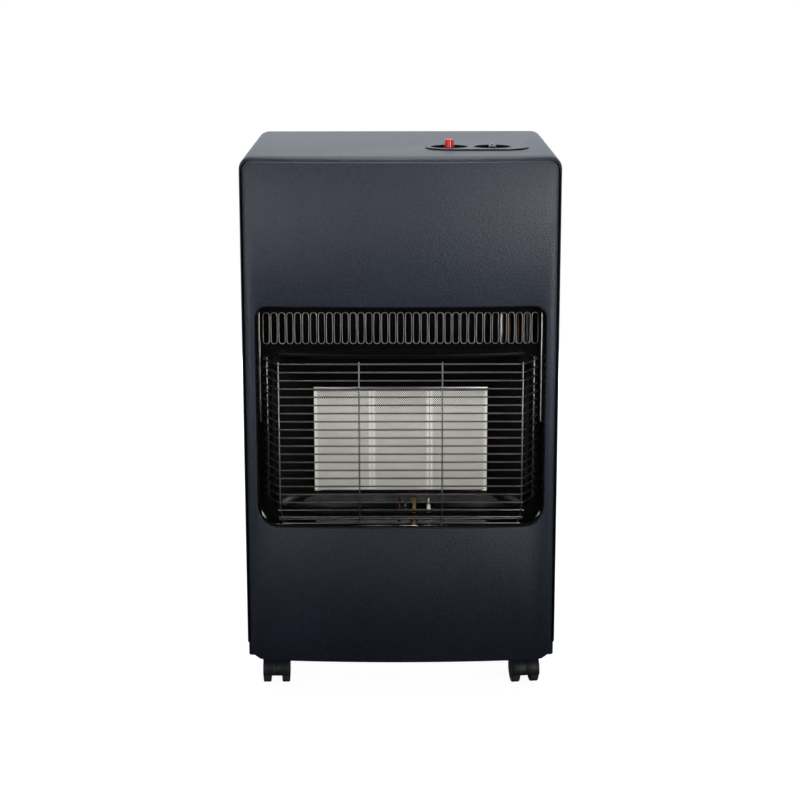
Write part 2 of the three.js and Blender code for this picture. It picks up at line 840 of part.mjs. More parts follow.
// A folded strip that laps over the plaques' edge and turns back over the mixing chamber.
function plaqueRail(direction) {
  const half = burnerHalf - fit;
  const seat = direction > 0 ? plaqueTop + fit : plaqueBottom - fit;
  const face = plaqueFront - fit;
  const up = (distance) => seat + direction * distance;
  const shape = new THREE.Shape();
  shape.moveTo(face - railSheet, up(-railLap)).lineTo(face, up(-railLap)).lineTo(face, up(0));
  shape.lineTo(plaqueFront + railTurn, up(0)).lineTo(plaqueFront + railTurn, up(railSheet));
  shape.lineTo(face - railSheet, up(railSheet)).closePath();
  return slabX(shape, -half, half);
}

// The mixing chamber: a box open to the plaques, with one mixing tube down from it below each plaque.
function burnerPlenum() {
  const half = burnerHalf;
  const low = plaqueBottom - fit;
  const high = plaqueTop + fit;
  const shell = box(
    -half - plenumWall, plenumFront, low - plenumWall, half + plenumWall, plenumBack, high + plenumWall);
  const inside = box(-half, plenumFront - 1, low, half, plenumBack - plenumWall, high);
  const bellMouth = (radius, from, to) => turned([
    [0, from], [radius + mixerFlare, from], [radius, mixerMouth + mixerFlareHeight], [radius, to], [0, to],
  ], 10);
  const places = spread(plaqueCount, plaquePitch);
  const outer = places.map((x) => (
    bellMouth(mixerRadius, mixerMouth, low - plenumWall / 2).translate(x, mixerY, 0)
  ));
  const inner = places.map((x) => (
    bellMouth(mixerRadius - mixerWall, mixerMouth - 1, low + 1).translate(x, mixerY, 0)
  ));
  return cut(join(shell, ...outer), inside, ...inner);
}

// A strap from the mixing chamber's side to the heat shield.
function burnerBracket(side) {
  const inner = burnerHalf + plenumWall + fit;
  const back = shieldFace - shieldSheet - fit;
  const shape = new THREE.Shape();
  const front = plenumFront + bracketSetBack;
  shape.moveTo(side * inner, front).lineTo(side * (inner + bracketSheet), front);
  shape.lineTo(side * (inner + bracketSheet), back - bracketSheet);
  shape.lineTo(side * (inner + bracketFoot), back - bracketSheet).lineTo(side * (inner + bracketFoot), back);
  shape.lineTo(side * inner, back).closePath();
  const middle = (plaqueBottom + plaqueTop) / 2;
  return slabZ(shape, middle - bracketWidth / 2, middle + bracketWidth / 2);
}

// The gas rail under the mixing tubes, with a seat for each injector.
function gasManifold() {
  const left = -plaquePitch - manifoldOverhang;
  const right = plaquePitch + manifoldOverhang;
  const bar = tube([at(left, mixerY, manifoldZ), at(right, mixerY, manifoldZ)], manifoldRadius, 12);
  const seats = spread(plaqueCount, plaquePitch).map((x) => (
    rod(injectorRadius + injectorSeatWall, manifoldZ, injectorBase - fit, 8).translate(x, mixerY, 0)
  ));
  return join(bar, ...seats);
}

function injector() {
  const neck = injectorRadius - 1;
  const height = (share) => injectorHeight * share;
  return turned([
    [0, 0], [injectorRadius, 0], [injectorRadius, height(0.5)], [neck, height(0.6)], [neck, height(0.85)],
    [injectorRadius / 3, height(1)], [0, height(1)],
  ], 8);
}

// An angle from the heat shield that the gas rail lies on.
function manifoldBracket() {
  const back = shieldFace - shieldSheet - fit;
  const seat = manifoldZ - manifoldRadius - fit;
  const shape = new THREE.Shape();
  shape.moveTo(mixerY - manifoldRadius, seat - bracketSheet).lineTo(back, seat - bracketSheet);
  shape.lineTo(back, seat + manifoldFoot).lineTo(back - bracketSheet, seat + manifoldFoot);
  shape.lineTo(back - bracketSheet, seat).lineTo(mixerY - manifoldRadius, seat).closePath();
  return slabX(shape, -plaquePitch, plaquePitch);
}

// ---------------------------------------------------------------- pilot light

// The plate that holds the pilot burner, the thermocouple and the electrode, on an arm from the shield.
function pilotBracket() {
  const half = pilotPitch + electrodeRadius + pilotPlateMargin;
  const front = pilotY - pilotPlateHalf;
  const rear = pilotY + pilotPlateHalf;
  const back = shieldFace - shieldSheet - fit;
  const armLeft = mixerRadius + pilotArmClearance;
  const armRight = plaquePitch - mixerRadius - pilotArmClearance;
  const shape = new THREE.Shape();
  shape.moveTo(pilotX - half, front).lineTo(pilotX + half, front).lineTo(pilotX + half, rear);
  shape.lineTo(armRight, rear).lineTo(armRight, back).lineTo(armLeft, back);
  shape.lineTo(armLeft, rear).lineTo(pilotX - half, rear).closePath();
  const holes = [[-1, thermocoupleRadius], [0, pilotRadius], [1, electrodeRadius]];
  for (const [place, radius] of holes) {
    const centre = new THREE.Vector2(pilotX + place * pilotPitch, pilotY);
    const hole = polygon(across(radius + fit, 10), 10).map((point) => point.add(centre));
    shape.holes.push(new THREE.Path(hole));
  }
  return slabZ(shape, pilotPlateZ - pilotBracketSheet, pilotPlateZ);
}

function pilotBurner() {
  const collar = pilotRadius + pilotCollar;
  const seat = pilotPlateZ + fit;
  const low = pilotPlateZ - pilotStem;
  return turned([
    [0, low], [pilotRadius, low], [pilotRadius, seat], [collar, seat], [collar, seat + pilotCollarHeight],
    [pilotRadius, seat + pilotCollarHeight + 2], [pilotRadius, pilotTop - 6],
    [pilotRadius + 1.5, pilotTop - 2], [pilotRadius - 1, pilotTop], [0, pilotTop],
  ], 10).translate(pilotX, pilotY, 0);
}

// The run of a pipe or lead from under the pilot plate, past the burner's right end, up in front of the
// heat shield, over its head and up to its end at the controls.
function riser(start, lane, dip, level, end) {
  const laneX = pipeRunX + lane * pipeRunPitch;
  const low = pilotPlateZ - dip;
  const crossover = pipeCrossover + level;
  return filleted([
    start,
    at(start.x, start.y, low),
    at(laneX, start.y, low),
    at(laneX, pipeRunY, low),
    at(laneX, pipeRunY, crossover),
    at(laneX, end.y, crossover + pipeRise),
    at(end.x, end.y, crossover + pipeRise),
    end,
  ], leadBend, 1);
}

// The place of a port in the valve's underside.
const valvePort = (port) => at(knobX + port.x, bezelY + port.y, valveBottom - fit);

// The thermocouple's tip and its long lead to the valve are one piece.
function thermocouple() {
  const x = pilotX - pilotPitch;
  const seat = pilotPlateZ + fit;
  const low = pilotPlateZ - pilotStem;
  const tip = rod(thermocoupleRadius, low, pilotTop - 1, 8).translate(x, pilotY, 0);
  const collar = rod(thermocoupleRadius + pilotCollar, seat, seat + pilotCollarHeight, 8);
  const route = riser(at(x, pilotY, low + 1), 2, thermoDip, thermoLevel, valvePort(thermoPort));
  return join(tip, collar.translate(x, pilotY, 0), tube(route, thermoLeadRadius, 5));
}

function sparkElectrode() {
  const low = pilotPlateZ - electrodeStem;
  const seat = pilotPlateZ + fit;
  const collar = electrodeRadius + pilotCollar;
  const shoulder = pilotTop - 10;
  return turned([
    [0, low], [electrodeRadius, low], [electrodeRadius, seat], [collar, seat],
    [collar, seat + pilotCollarHeight], [electrodeRadius, seat + pilotCollarHeight + 2],
    [electrodeRadius - 0.5, shoulder], [electrodeTipRadius, shoulder], [electrodeTipRadius, pilotTop - 1],
    [0, pilotTop - 1],
  ], 8).translate(pilotX + pilotPitch, pilotY, 0);
}

function ignitionLead() {
  const start = at(pilotX + pilotPitch, pilotY, pilotPlateZ - electrodeStem - fit);
  const end = at(igniterX, bezelY, controlSeat - igniterLength - fit);
  return tube(riser(start, 3, ignitionDip, ignitionLevel, end), ignitionLeadRadius, 6);
}

function pilotPipe() {
  const start = at(pilotX, pilotY, pilotPlateZ - pilotStem - fit);
  return tube(riser(start, 1, pilotDip, pilotLevel, valvePort(pilotPort)), pilotPipeRadius, 6);
}

// From the end of the gas rail to the valve.
function burnerPipe() {
  const start = plaquePitch + manifoldOverhang + fit;
  const end = valvePort(burnerPort);
  return tube(filleted([
    at(start, mixerY, manifoldZ),
    at(pipeRunX, mixerY, manifoldZ),
    at(pipeRunX, mixerY, pipeCrossover),
    at(pipeRunX, end.y, pipeCrossover + pipeRise),
    at(end.x, end.y, pipeCrossover + pipeRise),
    end,
  ], pipeBend, 2), burnerPipeRadius, 6);
}

// ---------------------------------------------------------------- guard

// How far the guard has curled in and back at a height, from 0 above the curl to 1 at the bottom wire.
const guardCurl = (z) => Math.max(0, (guardBottom + guardCurlHeight - z) / guardCurlHeight) ** 2;
const guardEdgeX = (z) => guardHalfFront - guardCurlIn * guardCurl(z);
const guardFaceY = (z) => guardFront + guardCurlBack * guardCurl(z);

// Level wires, bent back at both ends on all but the lowest, welded to four uprights in front and one
// upright at the back of each side.
function wireGuard() {
  const heights = Array.from({ length: wireCount }, (_, i) => guardBottom + i * wirePitch);
  const lean = Math.atan2(guardSplay, surroundBack - guardFront);
  const backEnd = surroundBack - fit - wireRadius * Math.sin(lean);
  const overlap = 2 * wireRadius - weldDepth;
  const level = heights.map((z, i) => {
    const x = guardEdgeX(z);
    const y = guardFaceY(z);
    if (i < guardShortWires) {
      return tube([at(-x - overlap, y, z), at(x + overlap, y, z)], wireRadius, wireSides);
    }
    const end = x + guardSplay;
    const corners = [at(-end, backEnd, z), at(-x, y, z), at(x, y, z), at(end, backEnd, z)];
    return tube(filleted(corners, guardBend, 1), wireRadius, wireSides);
  });
  const top = heights[wireCount - 1] + 2 * wireRadius;
  const stations = [top, guardBottom + guardCurlHeight, ...heights.slice(0, guardShortWires).reverse()];
  const upright = (edge) => tube([
    ...stations.map((z) => at(edge(z), guardFaceY(z) + overlap, z)),
    at(edge(guardBottom), guardFaceY(guardBottom) + overlap + guardFootTail, guardBottom - 0.2),
  ], wireRadius, 4, Math.PI / 4);
  const edges = [
    (z) => overlap - guardEdgeX(z),
    () => -guardMiddleX,
    () => guardMiddleX,
    (z) => guardEdgeX(z) - overlap,
  ];
  const tieX = guardHalfFront + guardSplay * guardTiePlace - overlap;
  const tieY = guardFront + (backEnd - guardFront) * guardTiePlace;
  const ties = [-1, 1].map((side) => tube([
    at(side * tieX, tieY, heights[guardShortWires] - 2 * wireRadius),
    at(side * tieX, tieY, top),
  ], wireRadius, 4, Math.PI / 4));
  return join(...level, ...edges.map(upright), ...ties);
}

// ---------------------------------------------------------------- controls

// A plate in the top with two round wells.
function controlBezel() {
  const low = cabinetHeight + fit;
  const high = low + bezelThickness;
  const radius = bezelWidth / 2;
  const plate = slabZ(obround(bezelX, bezelY, bezelLength / 2 - radius, radius), low, high, 7);
  const centres = [igniterX, knobX];
  const cups = centres.map((x) => (
    rod(wellRadius + bezelWall, wellUnderside, low + bezelThickness / 2, wellSides).translate(x, bezelY, 0)
  ));
  const hollows = centres.map((x) => (
    rod(wellRadius, wellFloor, high + 1, wellSides).translate(x, bezelY, 0)
  ));
  const holes = [[igniterX, buttonRadius], [knobX, spindleRadius]].map(([x, inner]) => (
    rod(across(inner + fit, 12), wellUnderside - 1, wellFloor + 1).translate(x, bezelY, 0)
  ));
  return cut(join(plate, ...cups), ...hollows, ...holes);
}

// The sprung push button stands in the left well. Its lower end is guided by the igniter.
function igniterButton() {
  const top = cabinetHeight + buttonRise;
  const low = wellUnderside - buttonGuide + buttonTravel + 1;
  return turned([
    [0, low], [buttonRadius, low], [buttonRadius, top - 1.2], [buttonRadius - 1.2, top], [0, top],
  ], 12);
}

function igniterBody() {
  const low = controlSeat - igniterLength;
  const bore = across(buttonRadius + 2 * runningGap, 12);
  const floor = wellUnderside - buttonGuide;
  return turned([
    [0, low], [igniterRadius * 0.4, low], [igniterRadius * 0.4, low + 8], [igniterRadius, low + 10],
    [igniterRadius, controlSeat - 6], [igniterRadius + 3, controlSeat - 6], [igniterRadius + 3, controlSeat],
    [bore, controlSeat], [bore, floor], [0, floor],
  ], 12);
}

function valveSpindle() {
  const boreTop = cabinetHeight + knobRise - knobCap;
  return rod(spindleRadius, controlSeat - spindleDepth, boreTop - knobTravel - fit, 12);
}

// A round skirt with a grip bar across it, bored from below for the spindle.
function controlKnob() {
  const top = cabinetHeight + knobRise;
  const low = wellFloor + knobTravel + 1;
  const shoulder = top - gripHeight;
  const skirt = turned([
    [0, low], [knobRadius, low], [knobRadius, low + knobSkirt], [knobRadius - 1.5, shoulder - 1],
    [knobRadius - 3, shoulder], [0, shoulder],
  ], 24);
  const half = knobRadius - 2.5;
  const bar = obround(0, 0, half - gripWidth / 2, gripWidth / 2);
  const grip = slabZ(bar, shoulder - 1, top, 3).rotateZ(Math.PI / 2);
  const bore = across(spindleRadius + runningGap, 12);
  return cut(join(skirt, grip), rod(bore, low - 1, top - knobCap, 12));
}

function knobPointer() {
  const seat = cabinetHeight + knobRise + fit;
  const end = knobRadius - 3.5;
  const mark = rectangle(-pointerWidth / 2, end - pointerLength, pointerWidth / 2, end);
  return slabZ(mark, seat, seat + pointerThickness);
}

// The gas tap under the right well: a forged block with a boss for the spindle.
function gasValve() {
  const top = valveBottom + valveHeight;
  const wide = valveWidth / 2;
  const deep = valveDepth / 2;
  const block = slabZ(rectangle(-wide, -deep, wide, deep, valveCorner), valveBottom, top, 2);
  const boss = rod(valveBossRadius, top - 1, controlSeat);
  const bore = across(spindleRadius + runningGap, 12);
  const hole = rod(bore, controlSeat - spindleDepth - fit, controlSeat + 1);
  const port = rod(hoseTailRadius + 2, -deep - valvePortReach, -deep + 1, 6);
  port.rotateX(Math.PI / 2).translate(0, 0, valveBottom + valveHeight / 2);
  return cut(join(block, boss, port), hole);
}

// The barbed inlet for the hose, pointing back over the bottle.
function hoseTail() {
  const nut = hoseTailRadius + 2;
  const neck = hoseTailRadius - 1;
  const profile = [[0, 0], [nut, 0], [nut, hoseTailNut], [neck, hoseTailNut + 1]];
  const pitch = (hoseTailLength - hoseTailNut - 1) / hoseTailBarbs;
  for (let i = 0; i < hoseTailBarbs; i += 1) {
    const base = hoseTailNut + 1 + i * pitch;
    profile.push([neck, base + pitch * 0.3], [hoseTailRadius, base + pitch * 0.35], [neck, base + pitch]);
  }
  profile.push([0, hoseTailLength]);
  return turned(profile, 10).rotateX(-Math.PI / 2);
}

// ---------------------------------------------------------------- casters

const casterTop = panUnderside - fit;
const stemBossTop = casterTop - casterPlateSheet - fit;
const stemBore = across(stemRadius + runningGap, stemSides);
const wheelInner = wheelGap / 2;

function casterPlateAndStem() {
  const half = casterPlate / 2;
  const plate = slabZ(rectangle(-half, -half, half, half, 5), casterTop - casterPlateSheet, casterTop);
  const stemLow = stemBossTop - stemBossHeight + 2;
  const stem = rod(stemRadius, stemLow, casterTop - casterPlateSheet / 2, stemSides);
  return join(plate, stem);
}

// The hood: a curved band over both wheels, a web between them that holds the axle, and a boss for the
// stem. The caster's plate carries that stem.
function casterHood() {
  const inner = wheelRadius + hoodClearance;
  const outer = inner + hoodSheet;
  const start = Math.PI + degrees(hoodFrontAngle);
  const end = degrees(hoodRearAngle);
  const band = new THREE.Shape();
  band.absarc(casterTrail, wheelRadius, outer, start, end, true);
  band.absarc(casterTrail, wheelRadius, inner, end, start, false);
  band.closePath();
  const web = new THREE.Shape();
  const lean = degrees(webAngle);
  web.absarc(casterTrail, wheelRadius, inner + hoodSheet / 2, Math.PI + lean, -lean, true);
  web.closePath();
  const halfBand = wheelInner + wheelWidth;
  const halfWeb = wheelInner - webClearance;
  const boss = rod(stemBossRadius, stemBossTop - stemBossHeight, stemBossTop, stemSides + 2);
  const stemHole = rod(stemBore, stemBossTop - stemBossHeight + 1, stemBossTop + 1, stemSides);
  const axleHole = axleRod(across(axleRadius + runningGap, axleSides), halfBand + 1);
  const whole = join(slabX(band, -halfBand, halfBand, 4), slabX(web, -halfWeb, halfWeb), boss);
  return cut(whole, stemHole, axleHole);
}

function axleRod(radius, half) {
  const centre = new THREE.Vector2(casterTrail, wheelRadius);
  const shape = new THREE.Shape(polygon(radius, axleSides).map((point) => point.add(centre)));
  return slabX(shape, -half, half);
}

// A wheel with its inner face at x = 0. One of its flats is at the bottom, so that it stands still.
function casterWheel() {
  const rim = across(wheelRadius, wheelSides);
  const bore = across(axleRadius + runningGap, wheelSides);
  const wheel = turned([
    [bore, 0], [rim, 0], [rim, wheelWidth - wheelChamfer], [rim - wheelChamfer, wheelWidth],
    [bore, wheelWidth], [bore, 0],
  ], wheelSides);
  wheel.rotateZ(Math.PI / 2 + Math.PI / wheelSides);
  return wheel.rotateY(Math.PI / 2);
}

// ---------------------------------------------------------------- assembly

const heater = new THREE.Group();
const frontReach = guardFront - wireRadius * Math.cos(Math.PI / wireSides);
heater.position.y = -(frontReach + rearPlane) / 2;

function add(name, geometry, material, parent = heater) {
  const mesh = new THREE.Mesh(geometry, material());
  mesh.name = name;
  parent.add(mesh);
  return mesh;
}

function addCabinet() {
  add('side_and_top_shell', sideAndTopShell(), finishes.paint);
  add('front_panel', frontPanel(), finishes.paint);
  add('base_pan', basePan(), finishes.paint);
  add('rear_top_rail', rearTopRail(), finishes.zinc);
  add('heat_shield', heatShield(), finishes.zinc);
  add('bottle_stop', bottleStop(), finishes.zinc);
  add('rear_cover', rearCover(), finishes.paint);
}

function addFire() {
  add('fire_surround', fireSurround(), finishes.enamel);
  add('heat_deflector', heatDeflector(), finishes.enamel);
  add('reflector', reflector(), finishes.enamel);
  add('wire_guard', wireGuard(), finishes.wire);
  const places = ['left', 'centre', 'right'];
  spread(plaqueCount, plaquePitch).forEach((x, i) => {
    const side = places[i];
    add(`ceramic_plaque_${side}`, plaque(), finishes.ceramic).position.set(x, plaqueFront, plaqueBottom);
    add(`injector_${side}`, injector(), finishes.brass).position.set(x, mixerY, injectorBase);
  });
  add('plaque_rail_top', plaqueRail(1), finishes.steel);
  add('plaque_rail_bottom', plaqueRail(-1), finishes.enamel);
  add('burner_plenum', burnerPlenum(), finishes.steel);
  add('burner_bracket_left', burnerBracket(-1), finishes.zinc);
  add('burner_bracket_right', burnerBracket(1), finishes.zinc);
  add('gas_manifold', gasManifold(), finishes.steel);
  add('manifold_bracket', manifoldBracket(), finishes.zinc);
  add('pilot_bracket', pilotBracket(), finishes.zinc);
  add('pilot_burner', pilotBurner(), finishes.brass);
  add('thermocouple', thermocouple(), finishes.copper);
  add('spark_electrode', sparkElectrode(), finishes.porcelain);
  add('ignition_lead', ignitionLead(), finishes.leadCover);
  add('pilot_pipe', pilotPipe(), finishes.copper);
  add('burner_pipe', burnerPipe(), finishes.steel);
}

function addControls() {
  add('control_bezel', controlBezel(), finishes.paint);
  add('igniter_body', igniterBody(), finishes.blackPlastic).position.set(igniterX, bezelY, 0);
  add('igniter_button', igniterButton(), finishes.redPlastic).position.set(igniterX, bezelY, 0);
  add('gas_valve', gasValve(), finishes.brass).position.set(knobX, bezelY, 0);
  add('valve_spindle', valveSpindle(), finishes.steel).position.set(knobX, bezelY, 0);
  add('control_knob', controlKnob(), finishes.blackPlastic).position.set(knobX, bezelY, 0);
  add('knob_pointer', knobPointer(), finishes.pointer).position.set(knobX, bezelY, 0);
  const portEnd = bezelY + valveDepth / 2 + valvePortReach + fit;
  add('hose_tail', hoseTail(), finishes.brass).position.set(knobX, portEnd, valveBottom + valveHeight / 2);
}

// A caster in its own frame: the stem is the z axis, and the wheels trail behind it.
function addCaster(name, x, y, turn) {
  const caster = new THREE.Group();
  caster.position.set(x, y, 0);
  heater.add(caster);
  add(`caster_plate_${name}`, casterPlateAndStem(), finishes.zinc, caster);
  const swivel = new THREE.Group();
  swivel.rotation.z = degrees(turn);
  caster.add(swivel);
  add(`caster_hood_${name}`, casterHood(), finishes.blackPlastic, swivel);
  const axleHalf = wheelInner + wheelWidth - 0.5;
  add(`caster_axle_${name}`, axleRod(axleRadius, axleHalf), finishes.zinc, swivel);
  const right = add(`caster_wheel_right_${name}`, casterWheel(), finishes.tread, swivel);
  right.position.set(wheelInner, casterTrail, wheelRadius);
  const left = add(`caster_wheel_left_${name}`, casterWheel(), finishes.tread, swivel);
  left.position.set(-wheelInner, casterTrail, wheelRadius);
  left.rotation.z = Math.PI;
}

addCabinet();
addFire();
addControls();
addCaster('front_left', -casterX, casterFrontY, 0);
addCaster('front_right', casterX, casterFrontY, casterTurn);
addCaster('rear_left', -casterX, cabinetDepth - casterRearInset, 0);
addCaster('rear_right', casterX, cabinetDepth - casterRearInset, 0);

export default heater;
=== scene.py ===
# %% [markdown]
# # A portable gas cabinet heater
#
# A steel cabinet on casters burns bottled gas on three ceramic plaques behind a wire guard. The packed
# CAD model is the fixed frame: every piece keeps its size and its place. This lesson dresses it. Every
# piece gets a finish made of nodes, curved sheet metal gets smooth shading and soft edges, and the
# wire guard, the pierced plaques, the rims of the outlet slots and the casters are modelled by hand.

# %% Load the frame
import json
import math

import bmesh
import bpy
from mathutils import Matrix, Vector


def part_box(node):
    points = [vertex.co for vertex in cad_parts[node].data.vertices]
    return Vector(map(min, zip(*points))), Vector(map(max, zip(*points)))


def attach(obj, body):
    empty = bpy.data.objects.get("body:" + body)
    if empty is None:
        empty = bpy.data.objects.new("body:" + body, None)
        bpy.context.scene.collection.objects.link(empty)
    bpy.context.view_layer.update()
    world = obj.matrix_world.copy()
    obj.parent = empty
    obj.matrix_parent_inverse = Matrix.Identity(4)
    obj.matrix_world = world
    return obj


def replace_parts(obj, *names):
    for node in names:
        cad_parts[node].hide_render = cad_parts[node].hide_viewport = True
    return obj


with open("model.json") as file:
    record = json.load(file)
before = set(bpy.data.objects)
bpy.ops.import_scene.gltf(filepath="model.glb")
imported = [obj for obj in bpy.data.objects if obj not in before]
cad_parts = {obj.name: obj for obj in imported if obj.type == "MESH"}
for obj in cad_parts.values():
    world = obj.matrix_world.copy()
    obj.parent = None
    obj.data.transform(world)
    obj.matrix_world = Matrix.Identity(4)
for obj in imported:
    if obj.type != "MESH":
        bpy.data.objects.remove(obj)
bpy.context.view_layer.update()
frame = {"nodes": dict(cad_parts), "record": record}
MM = 0.001
# The CAD's drawing has y = 0 at the cabinet's front flange. The frame has its middle there instead.
CABINET_DEPTH = 370 * MM
FLANGE_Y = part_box("side_and_top_shell")[1].y - CABINET_DEPTH
print("nodes", len(frame["nodes"]), "flange at y", round(FLANGE_Y, 5))

# %% [markdown]
# ## Camera
#
# The photograph was taken with a long lens from a little above the heater. A camera can be moved by
# eye until the outlines meet, but a wrong lens then hides behind a wrong distance. This one was solved
# from the cabinet's straight edges, so its place, tilt and lens agree.


# %% Make the camera
TILT, YAW, ROLL = (math.radians(angle) for angle in (90 - 12.87, -0.07, -0.08))
SENSOR = 36
FOCAL_PIXELS, PHOTO_PIXELS = 1937, 800


def make_camera():
    """A long lens, tilted down at the heater."""
    bpy.ops.object.camera_add(location=(-4 * MM, FLANGE_Y - 2511 * MM, 986.3 * MM))
    camera = bpy.context.object
    camera.name = "camera"
    camera.data.sensor_width = SENSOR
    camera.data.lens = FOCAL_PIXELS / PHOTO_PIXELS * SENSOR
    tilt = Matrix.Rotation(TILT, 4, "X")
    yaw = Matrix.Rotation(YAW, 4, "Z")
    roll = Matrix.Rotation(ROLL, 4, "Z")
    camera.rotation_euler = (yaw @ tilt @ roll).to_euler()
    bpy.context.scene.camera = camera
    return camera


camera = make_camera()
print("camera at", [round(v, 3) for v in camera.location], "lens", round(camera.data.lens, 1))

# %% [markdown]
# ## A way to write materials
#
# A material is a graph of nodes. It can be wired with the mouse, or in code with one line per node and
# one per link, but such code is long and hides the idea. So one function makes any node from its type,
# its settings and its inputs. A Signal is a number that varies over the surface, and a sum or product
# of Signals adds its Math nodes, so that a formula is read as a formula.


# %% Nodes and signals
def feed(tree, socket, value):
    """Gives a socket a number or a colour, or links it to the output that makes one."""
    source = value.socket if isinstance(value, Signal) else value
    if isinstance(source, bpy.types.NodeSocket):
        tree.links.new(source, socket)
    else:
        socket.default_value = source


def add_node(tree, kind, settings=None, *inputs, **named):
    """A node of any kind. Its settings come first, then the values or links of its inputs."""
    made = tree.nodes.new(kind)
    for key, value in (settings or {}).items():
        setattr(made, key, value)
    for key, value in [*enumerate(inputs), *named.items()]:
        feed(tree, made.inputs[key if isinstance(key, int) else key.replace("_", " ")], value)
    return made


class Signal:
    """A number that varies over a surface, held by one output socket of a node."""

    def __init__(self, recipe, socket):
        self.recipe = recipe
        self.socket = socket

    def combine(self, operation, other):
        return self.recipe.number("ShaderNodeMath", {"operation": operation}, self, other)

    def __add__(self, other):
        return self.combine("ADD", other)

    def __mul__(self, other):
        return self.combine("MULTIPLY", other)

    __radd__ = __add__
    __rmul__ = __mul__


def rgb(red, green, blue):
    """A colour as a screen shows it, 0 to 255, for a socket that wants linear light."""
    return (*[(v / 255 / 12.92) if v < 10 else ((v / 255 + 0.055) / 1.055) ** 2.4
              for v in (red, green, blue)], 1.0)


print("a screen's middle grey is", round(rgb(128, 128, 128)[0], 3), "in linear light")

# %% [markdown]
# ## Recipes
#
# Most finishes here are mixed from the same few things: noise of some grain, a blend of two colours,
# a span of roughness and a little relief. A Recipe is one material in the making, with a word for each
# of them. It measures in metres on the object itself, so a grain has its real size on every piece.


# %% Recipes
class Recipe:
    """One material in the making: a Principled shader and what feeds it."""

    def __init__(self, name):
        self.material = bpy.data.materials.new(name)
        self.material.use_nodes = True
        self.tree = self.material.node_tree
        self.shader = self.tree.nodes["Principled BSDF"]
        self.place = self.node("ShaderNodeTexCoord").outputs["Object"]

    def node(self, kind, settings=None, *inputs, **named):
        return add_node(self.tree, kind, settings, *inputs, **named)

    def number(self, kind, settings, *inputs, output=0, **named):
        return Signal(self, self.node(kind, settings, *inputs, **named).outputs[output])

    def set(self, **values):
        """Sets the shader's own sockets, such as Base_Color or Coat_Weight."""
        for key, value in values.items():
            feed(self.tree, self.shader.inputs[key.replace("_", " ")], value)
        return self

    def noise(self, scale, detail=2.0, stretch=(1, 1, 1)):
        """Noise with about `scale` grains per metre, from 0 to 1. Stretch draws it along an axis."""
        place = self.place
        if stretch != (1, 1, 1):
            place = self.node("ShaderNodeMapping", {}, Vector=place, Scale=stretch).outputs[0]
        return self.number("ShaderNodeTexNoise", {}, Vector=place, Scale=scale, Detail=detail)

    def openness(self, reach):
        """How much of its surroundings a point sees within a reach, from 0 in a seam to 1."""
        return self.number("ShaderNodeAmbientOcclusion", {"samples": 8}, output="AO", Distance=reach)

    def ramp(self, signal, low, high, start=0.0, end=1.0):
        """Moves a signal from the span low..high to the span start..end, and holds it there."""
        return self.number("ShaderNodeMapRange", {}, Value=signal, From_Min=low, From_Max=high,
                           To_Min=start, To_Max=end)

    def blend(self, share, first, second):
        """A colour between two colours."""
        made = self.node("ShaderNodeMix", {"data_type": "RGBA"})
        sockets = made.inputs[0], made.inputs[6], made.inputs[7]
        for socket, value in zip(sockets, (share, first, second)):
            feed(self.tree, socket, value)
        return made.outputs[2]

    def bump(self, height, distance, strength=1.0):
        """Height in units of `distance` metres becomes the surface's relief."""
        made = self.node("ShaderNodeBump", {}, Strength=strength, Distance=distance, Height=height)
        self.set(Normal=made.outputs[0])
        return self


finishes = {}
print("a recipe can give", [word for word in vars(Recipe) if not word.startswith("_")])

# %% [markdown]
# ## Slate paint
#
# The cabinet is powder coated in a dark slate blue. Baked powder is a little lumpy, like orange peel,
# with a fine grain that breaks up its shine. A picture of such paint would stretch round the bends, so
# two noises do it: a coarse one for the peel and a fine one for the grain. Both also shift the colour
# a little. The paint is also darker where little of the room is in sight, in seams and gaps: this is
# painted shade.


# %% Slate paint
def slate_paint():
    recipe = Recipe("slate_paint")
    grain = recipe.noise(1100)
    peel = recipe.noise(480)
    cloud = recipe.noise(9, detail=3)
    tone = recipe.ramp(0.35 * grain + 0.45 * peel + 0.2 * cloud, 0.35, 0.65)
    powder = recipe.blend(tone, rgb(16, 21, 31), rgb(40, 46, 60))
    # Painted shade: the paint turns near black in seams and gaps, where little of the room is in sight.
    painted_seam_shade = recipe.ramp(recipe.openness(9 * MM), 0.45, 0.85)
    recipe.set(Base_Color=recipe.blend(painted_seam_shade, rgb(10, 11, 13), powder),
               Roughness=recipe.ramp(grain, 0.3, 0.7, 0.38, 0.5), IOR=1.42)
    return recipe.bump(0.4 * grain + peel, 0.38 * MM).material


finishes["paint"] = slate_paint()
print(finishes["paint"].name, "nodes", len(finishes["paint"].node_tree.nodes))

# %% [markdown]
# ## Black enamel
#
# The fire surround and the reflector are pressed steel under glossy black enamel. Plain black with a
# low roughness would look like a mirror, but enamel flows a little in the oven, so reflections of
# straight things wander. A slow noise bends them. Enamel also bends light more than paint does, so it
# shines more. The bowl next to the fire is duller, and the hood above it has been heated until it is
# nearly matt. The galvanised shield above the fire takes the same black: painted shade, for the dark
# space behind the outlet slots.


# %% Black enamel
def black_enamel(name, roughness, ior):
    recipe = Recipe(name)
    flow = recipe.noise(55)
    speck = recipe.ramp(recipe.noise(1500, detail=1), 0.4, 0.7)
    recipe.set(Base_Color=recipe.blend(speck, rgb(7, 6, 6), rgb(14, 13, 13)),
               Roughness=recipe.ramp(flow, 0.3, 0.7, roughness, roughness + 0.06), IOR=ior)
    return recipe.bump(flow, 0.6 * MM, 0.5).material


finishes["enamel"] = black_enamel("black_enamel", 0.06, 1.9)
bowl_enamel = black_enamel("bowl_enamel", 0.2, 1.18)
# The same matt black also gives painted shade to the galvanised shield behind the slots.
matt_enamel_and_shade = black_enamel("matt_enamel_and_shade", 0.34, 1.15)
print("enamels", [made.name for made in (finishes["enamel"], bowl_enamel, matt_enamel_and_shade)])

